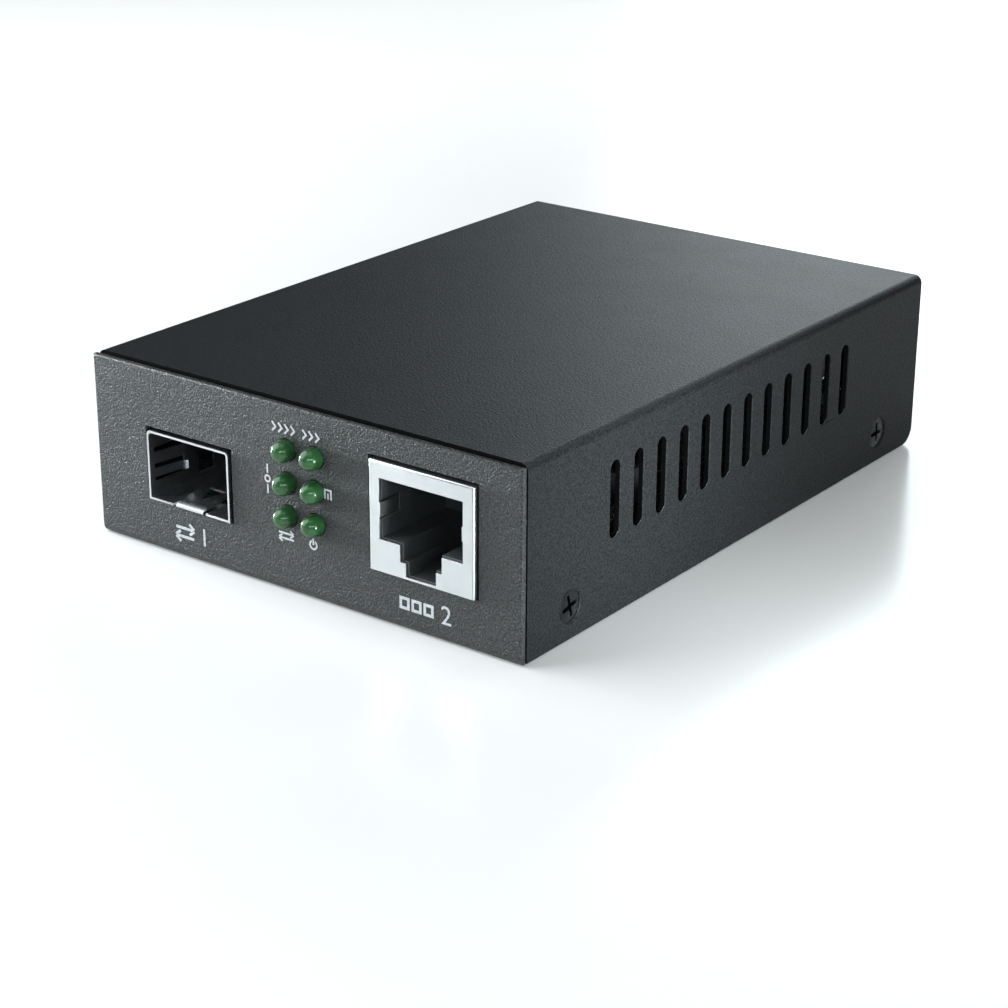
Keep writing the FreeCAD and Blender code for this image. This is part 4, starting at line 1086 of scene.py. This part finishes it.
softParts = [
    # piece, node, finish, width of the rounded edges, shortest edge rounded, slot
    ("inletBody", "power_inlet", blackMoulding, 0.18, 0.8, "black_plastic"),
    ("inletPin", "inlet_pin", tinFinish, 0.06, 0.6, "tin"),
    ("lampHolder", "lamp_holder", blackMoulding, 0.10, 1.0, "black_plastic"),
    ("plugBlock", "sfp_connector", blackMoulding, 0.05, 2.0, "black_plastic"),
    ("boardScrews", "board_screws", zincFinish, 0.10, 0.5, "zinc_steel"),
    ("boardStandoffs", "board_standoffs", zincFinish, 0.08, 0.8, "zinc_steel"),
    ("crystalCan", "crystal", zincFinish, 0.12, 0.3, "zinc_steel"),
    ("chokeCore", "choke_core", ferriteFinish, 0.10, 0.5, "ferrite"),
    ("inputDiode", "input_diode", chipMoulding, 0.14, 0.8, "chip_plastic"),
    ("diodeTabs", "diode_tabs", tinFinish, 0.04, 0.8, "tin"),
    ("regulatorBody", "regulator", chipMoulding, 0.06, 0.8, "chip_plastic"),
    ("regulatorLegs", "regulator_leads", tinFinish, 0.03, 0.5, "tin"),
]
for name, node, finish, width, shortest, slotName in softParts:
    dress(softCopy(name, node, finish, width, shortest), slotName, node)


dimpleSet = {"profile": ((0, -0.1), (0.36, -0.1), (0.5, 0.2), (0, 0.2)), "inset": 1.6,
             "insetShare": 0.25}   # mm


def packageCopy(name, node):
    # moulded package with a round dimple beside its first lead
    piece = softCopy(name, node, chipMoulding, 0.05, 0.8)
    low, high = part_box(node)
    inset = min(dimpleSet["inset"] * mm, (high.y - low.y) * dimpleSet["insetShare"])
    dimple = fromBmesh("dimple", lathe(dimpleSet["profile"], 24), chipMoulding)
    dimple.data.transform(Matrix.Translation((low.x + inset, low.y + inset, high.z)))
    cutAway(piece, dimple)
    shade(piece.data, copySet["sharp"])
    evenShading(piece)
    return piece


for name, node in (("converterChip", "converter_chip"), ("lineTransformer", "line_transformer"),
                   ("memoryChip", "memory_chip")):
    dress(packageCopy(name, node), "chip_plastic", node)
canSet = {
    "foot": 0.15,           # mm, chamfer of the sleeve's foot
    "edge": 0.4,
    "grooveHeight": 1.6,
    "groove": ((0, -0.5), (0.1, -0.35), (0.28, -0.12), (0.28, 0.12), (0.1, 0.35), (0, 0.5)),   # inwards, up
    "sleeveRim": (0.8, 0.85),   # from the side, above and below its edge
    "drop": 0.08,
    "score": (1.15, 0.12, 0.2, 0.1),   # share of the radius, width, cutter's top, depth
    "topZone": 0.2,
    "leg": 0.3,
    "legShare": 0.4,
    "legRoot": 0.3,
    "stripe": 24,           # degrees each side
}


def canPiece(name, node):
    # sleeve with a crimped groove and a pale stripe, a bare scored top and two legs
    s = canSet
    low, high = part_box(node)
    radius, height = (high.x - low.x) / 2 / mm, high.z / mm - boardTop
    edge, foot, top = s["edge"], s["foot"], height - s["drop"]
    rim, inner = (radius - inward for inward in s["sleeveRim"])
    profile = [(0, 0), (radius - foot, 0), (radius, foot)]
    profile += [(radius - inward, s["grooveHeight"] + up) for inward, up in s["groove"]]
    profile += arcPoints((radius - edge, height - edge), edge, 0, 90, 6)
    profile += [(rim, height), (inner, top), (0, top)]
    item = fromBmesh(name, lathe([(r, z - top) for r, z in profile], 60), sleeveFinish)
    span, width, above, depth = s["score"]
    crossCut(item, radius * span, width, above, depth)
    for finish in (zincFinish, tinFinish, stripeFinish):
        item.data.materials.append(finish)
    for face in item.data.polygons:
        distance = math.hypot(face.center.x, face.center.y) / mm
        turn = math.degrees(math.atan2(face.center.y, face.center.x))
        if distance < rim and face.center.z > -s["topZone"] * mm:
            face.material_index = 1
        elif abs(turn) < s["stripe"] and abs(face.normal.z) < 0.7:
            face.material_index = 3
    bm = bmesh.new()
    bm.from_mesh(item.data)
    bottom, root = low.z / mm - boardTop - top, s["legRoot"] - top
    for side in (-1, 1):
        place = Matrix.Translation((side * radius * s["legShare"] * mm, 0, (bottom + root) / 2 * mm))
        leg = bmesh.ops.create_cone(bm, cap_ends=True, segments=16, radius1=s["leg"] * mm,
                                    radius2=s["leg"] * mm, depth=(root - bottom) * mm, matrix=place)
        for face in {face for vert in leg["verts"] for face in vert.link_faces}:
            face.material_index = 2
    bm.to_mesh(item.data)
    bm.free()
    shade(item.data, 35)
    centre = (low + high) / 2
    item.data.transform(Matrix.Translation((centre.x, centre.y, (boardTop + top) * mm)))
    return item


dress(canPiece("inputCan", "input_capacitor"), "can_sleeve", "input_capacitor")
dress(canPiece("outputCan", "output_capacitor"), "can_sleeve", "output_capacitor")
chipPartSet = {"length": 1.6, "width": 0.8, "height": 0.5, "cap": 0.3, "inset": 0.03, "endInset": 0.1,
               "edge": 0.05}   # mm


def blockItem(name, blocks, finish):
    # rounded blocks as (x0, x1, y0, y1, z0, z1) in mm
    bm = bmesh.new()
    for x0, x1, y0, y1, z0, z1 in blocks:
        corners = [bm.verts.new((x * mm, y * mm, z * mm)) for z in (z0, z1) for x, y in
                   ((x0, y0), (x1, y0), (x1, y1), (x0, y1))]
        for face in ((3, 2, 1, 0), (4, 5, 6, 7), (0, 1, 5, 4), (1, 2, 6, 5), (2, 3, 7, 6), (3, 0, 4, 7)):
            bm.faces.new([corners[i] for i in face])
    roundEdges(bm, list(bm.edges), chipPartSet["edge"], 2)
    return fromBmesh(name, bm, finish, 50)


s = chipPartSet
half, wide, tall, slim = s["length"] / 2, s["width"] / 2, s["height"], s["inset"]
partPoints = [((low.x + high.x) / 2, (low.y + high.y) / 2, low.z) for low, high in solidBoxes("chip_parts")]
upward = [(0, 0, 1)] * len(partPoints)
run = half - s["endInset"]
middles = blockItem("partItem", [(-run, run, -wide + slim, wide - slim, slim, tall - slim)], ceramicFinish)
ends = blockItem("endItem", [(-half, -half + s["cap"], -wide, wide, 0, tall),
                             (half - s["cap"], half, -wide, wide, 0, tall)], tinFinish)
dress(scatterItems("chipParts", middles, ceramicFinish, partPoints, upward), "ceramic_part", "chip_parts")
dress(scatterItems("chipPartEnds", ends, tinFinish, partPoints, upward), "tin")


traceSet = {
    "count": 8, "pitch": 0.8, "width": 0.26, "thickness": 0.035, "bend": 0.3,
    "inset": 2.0,           # mm, first line from the chip's corner
    "gap": 2.2,             # lines' start from the chip's side
    "fan": 0.6,             # share of the pitch between the bends
    "turn": (3.0, 3.2),     # first bend, inside the coil's side and out from the chip
    "past": (1.0, 0.3),     # end beyond the chip, and what each line adds
    "portGap": 0.5,
}


def tracePaths():
    # raised lines of copper under the mask, from the converter chip to the transformer and to the fibre port
    s = traceSet
    chipLow, chipHigh = (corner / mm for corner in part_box("converter_chip"))
    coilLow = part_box("line_transformer")[0] / mm
    plugLow, plugHigh = (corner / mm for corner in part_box("sfp_connector"))
    level = boardTop + s["thickness"] / 2
    inset, (past, more) = s["inset"], s["past"]
    paths = []
    for i in range(s["count"]):
        across, fan = i * s["pitch"], i * s["pitch"] * s["fan"]
        y = chipLow.y + inset + across
        start, turn = chipHigh.x + s["gap"], coilLow.x + s["turn"][0] - fan
        corners = [(start, y), (turn - inset, y), (turn, y - inset), (turn, chipLow.y - past - i * more)]
        paths.append([(*corner, level) for corner in corners])
        y = chipHigh.y - inset - across
        start, turn = chipLow.x - s["gap"], chipLow.x - s["turn"][1] - fan
        end = (plugLow.y + plugHigh.y) / 2 - across
        corners = [(start, y), (turn, y), (turn - abs(end - y), end), (plugHigh.x + s["portGap"], end)]
        paths.append([(*corner, level) for corner in corners])
    return paths


s = traceSet
dress(wires("boardTraces", maskFinish, tracePaths(), s["thickness"], s["width"], s["bend"]), "board")
print("parts on the board made")


stageSet = {
    "floorSize": 8.0,
    "floorColour": (0.88, 0.88, 0.875),
    "floorRoughness": 0.22,
    "mottle": 60,           # mm
    "mottleShares": (0.9, 1.1),   # of the roughness
    "glowReach": (0.09, 0.34),    # m from the middle, where the glow starts to rise and where it is full
    "glow": (0.07, 0.42),
    "worldColour": (0.90, 0.95, 1.0),
    "worldStrength": 0.02,
}
lampSet = [
    # name, azimuth and elevation in degrees, distance in m, width and height in m, aim in mm, spread in
    # degrees, watts, colour
    ("topSoftbox", 0, 85, 1.6, (1.2, 1.2), (0, 0, 0), 180, 5.71, (0.98, 0.99, 1.0)),
    ("rearSoftbox", 198, 19, 0.9, (0.45, 0.45), (0, 0, 0), 180, 2.86, (0.87, 0.97, 1.0)),
    ("leftSoftbox", -60, 35, 0.38, (0.4, 0.4), (0, 0, 0), 180, 2.15, (0.93, 0.98, 1.0)),
    ("leftLamp", -82, 4.5, 0.44, (0.12, 0.05), (0, 0, 10), 180, 2.0, (0.90, 0.98, 1.0)),
    ("frontStrip", 47, 22, 0.55, (0.7, 0.05), (0, 0, 0), 180, 1.4, (0.90, 0.98, 1.0)),
    ("edgeLamp", 152, 35, 0.6, (0.16, 0.16), (0, 0, 0), 180, 0.4, (0.90, 0.98, 1.0)),
    ("sideLamp", 69.7, 6, 0.145, (0.03, 0.03), (35, -24, 20), 50, 0.0239, (0.90, 0.98, 1.0)),
]


def makeStage():
    s = stageSet
    half = s["floorSize"] / 2
    corners = [(x * half, y * half, 0) for x, y in squareCorners]
    mesh = bpy.data.meshes.new("floor")
    mesh.from_pydata(corners, [], [(0, 1, 2, 3)])
    floor = newObject("floor", mesh)
    material, tree, shader = startMaterial("floorFinish", s["floorColour"], s["floorRoughness"])
    mottle = noise(objectPoints(tree), s["mottle"], 2)
    roughen(shader, mottle, *(share * s["floorRoughness"] for share in s["mottleShares"]))
    # painted light: the floor glows, faintly near the unit and more further out
    reach = addNode(tree, "ShaderNodeVectorMath", {0: objectPoints(tree)}, operation="LENGTH")
    paintedFloorGlow = mapRange(reach.outputs["Value"], s["glowReach"], s["glow"], interpolation_type="SMOOTHSTEP")
    fill(shader, {"Emission Color": (1, 1, 1, 1), "Emission Strength": paintedFloorGlow})
    mesh.materials.append(material)
    world = bpy.data.worlds.new("studio")
    world.use_nodes = True
    fill(world.node_tree.nodes["Background"],
         {"Color": (*s["worldColour"], 1), "Strength": s["worldStrength"]})
    bpy.context.scene.world = world
    for name, azimuth, elevation, distance, size, aim, beam, power, colour in lampSet:
        data = bpy.data.lights.new(name, "AREA")
        data.shape = "RECTANGLE"
        data.size, data.size_y = size
        data.energy = power
        data.spread = math.radians(beam)
        data.color = colour
        light = newObject(name, data)
        light.location = direction(azimuth, elevation) * distance
        light.rotation_mode = "QUATERNION"
        light.rotation_quaternion = (Vector(aim) * mm - light.location).to_track_quat("-Z", "Y")


makeStage()
print("stage made")
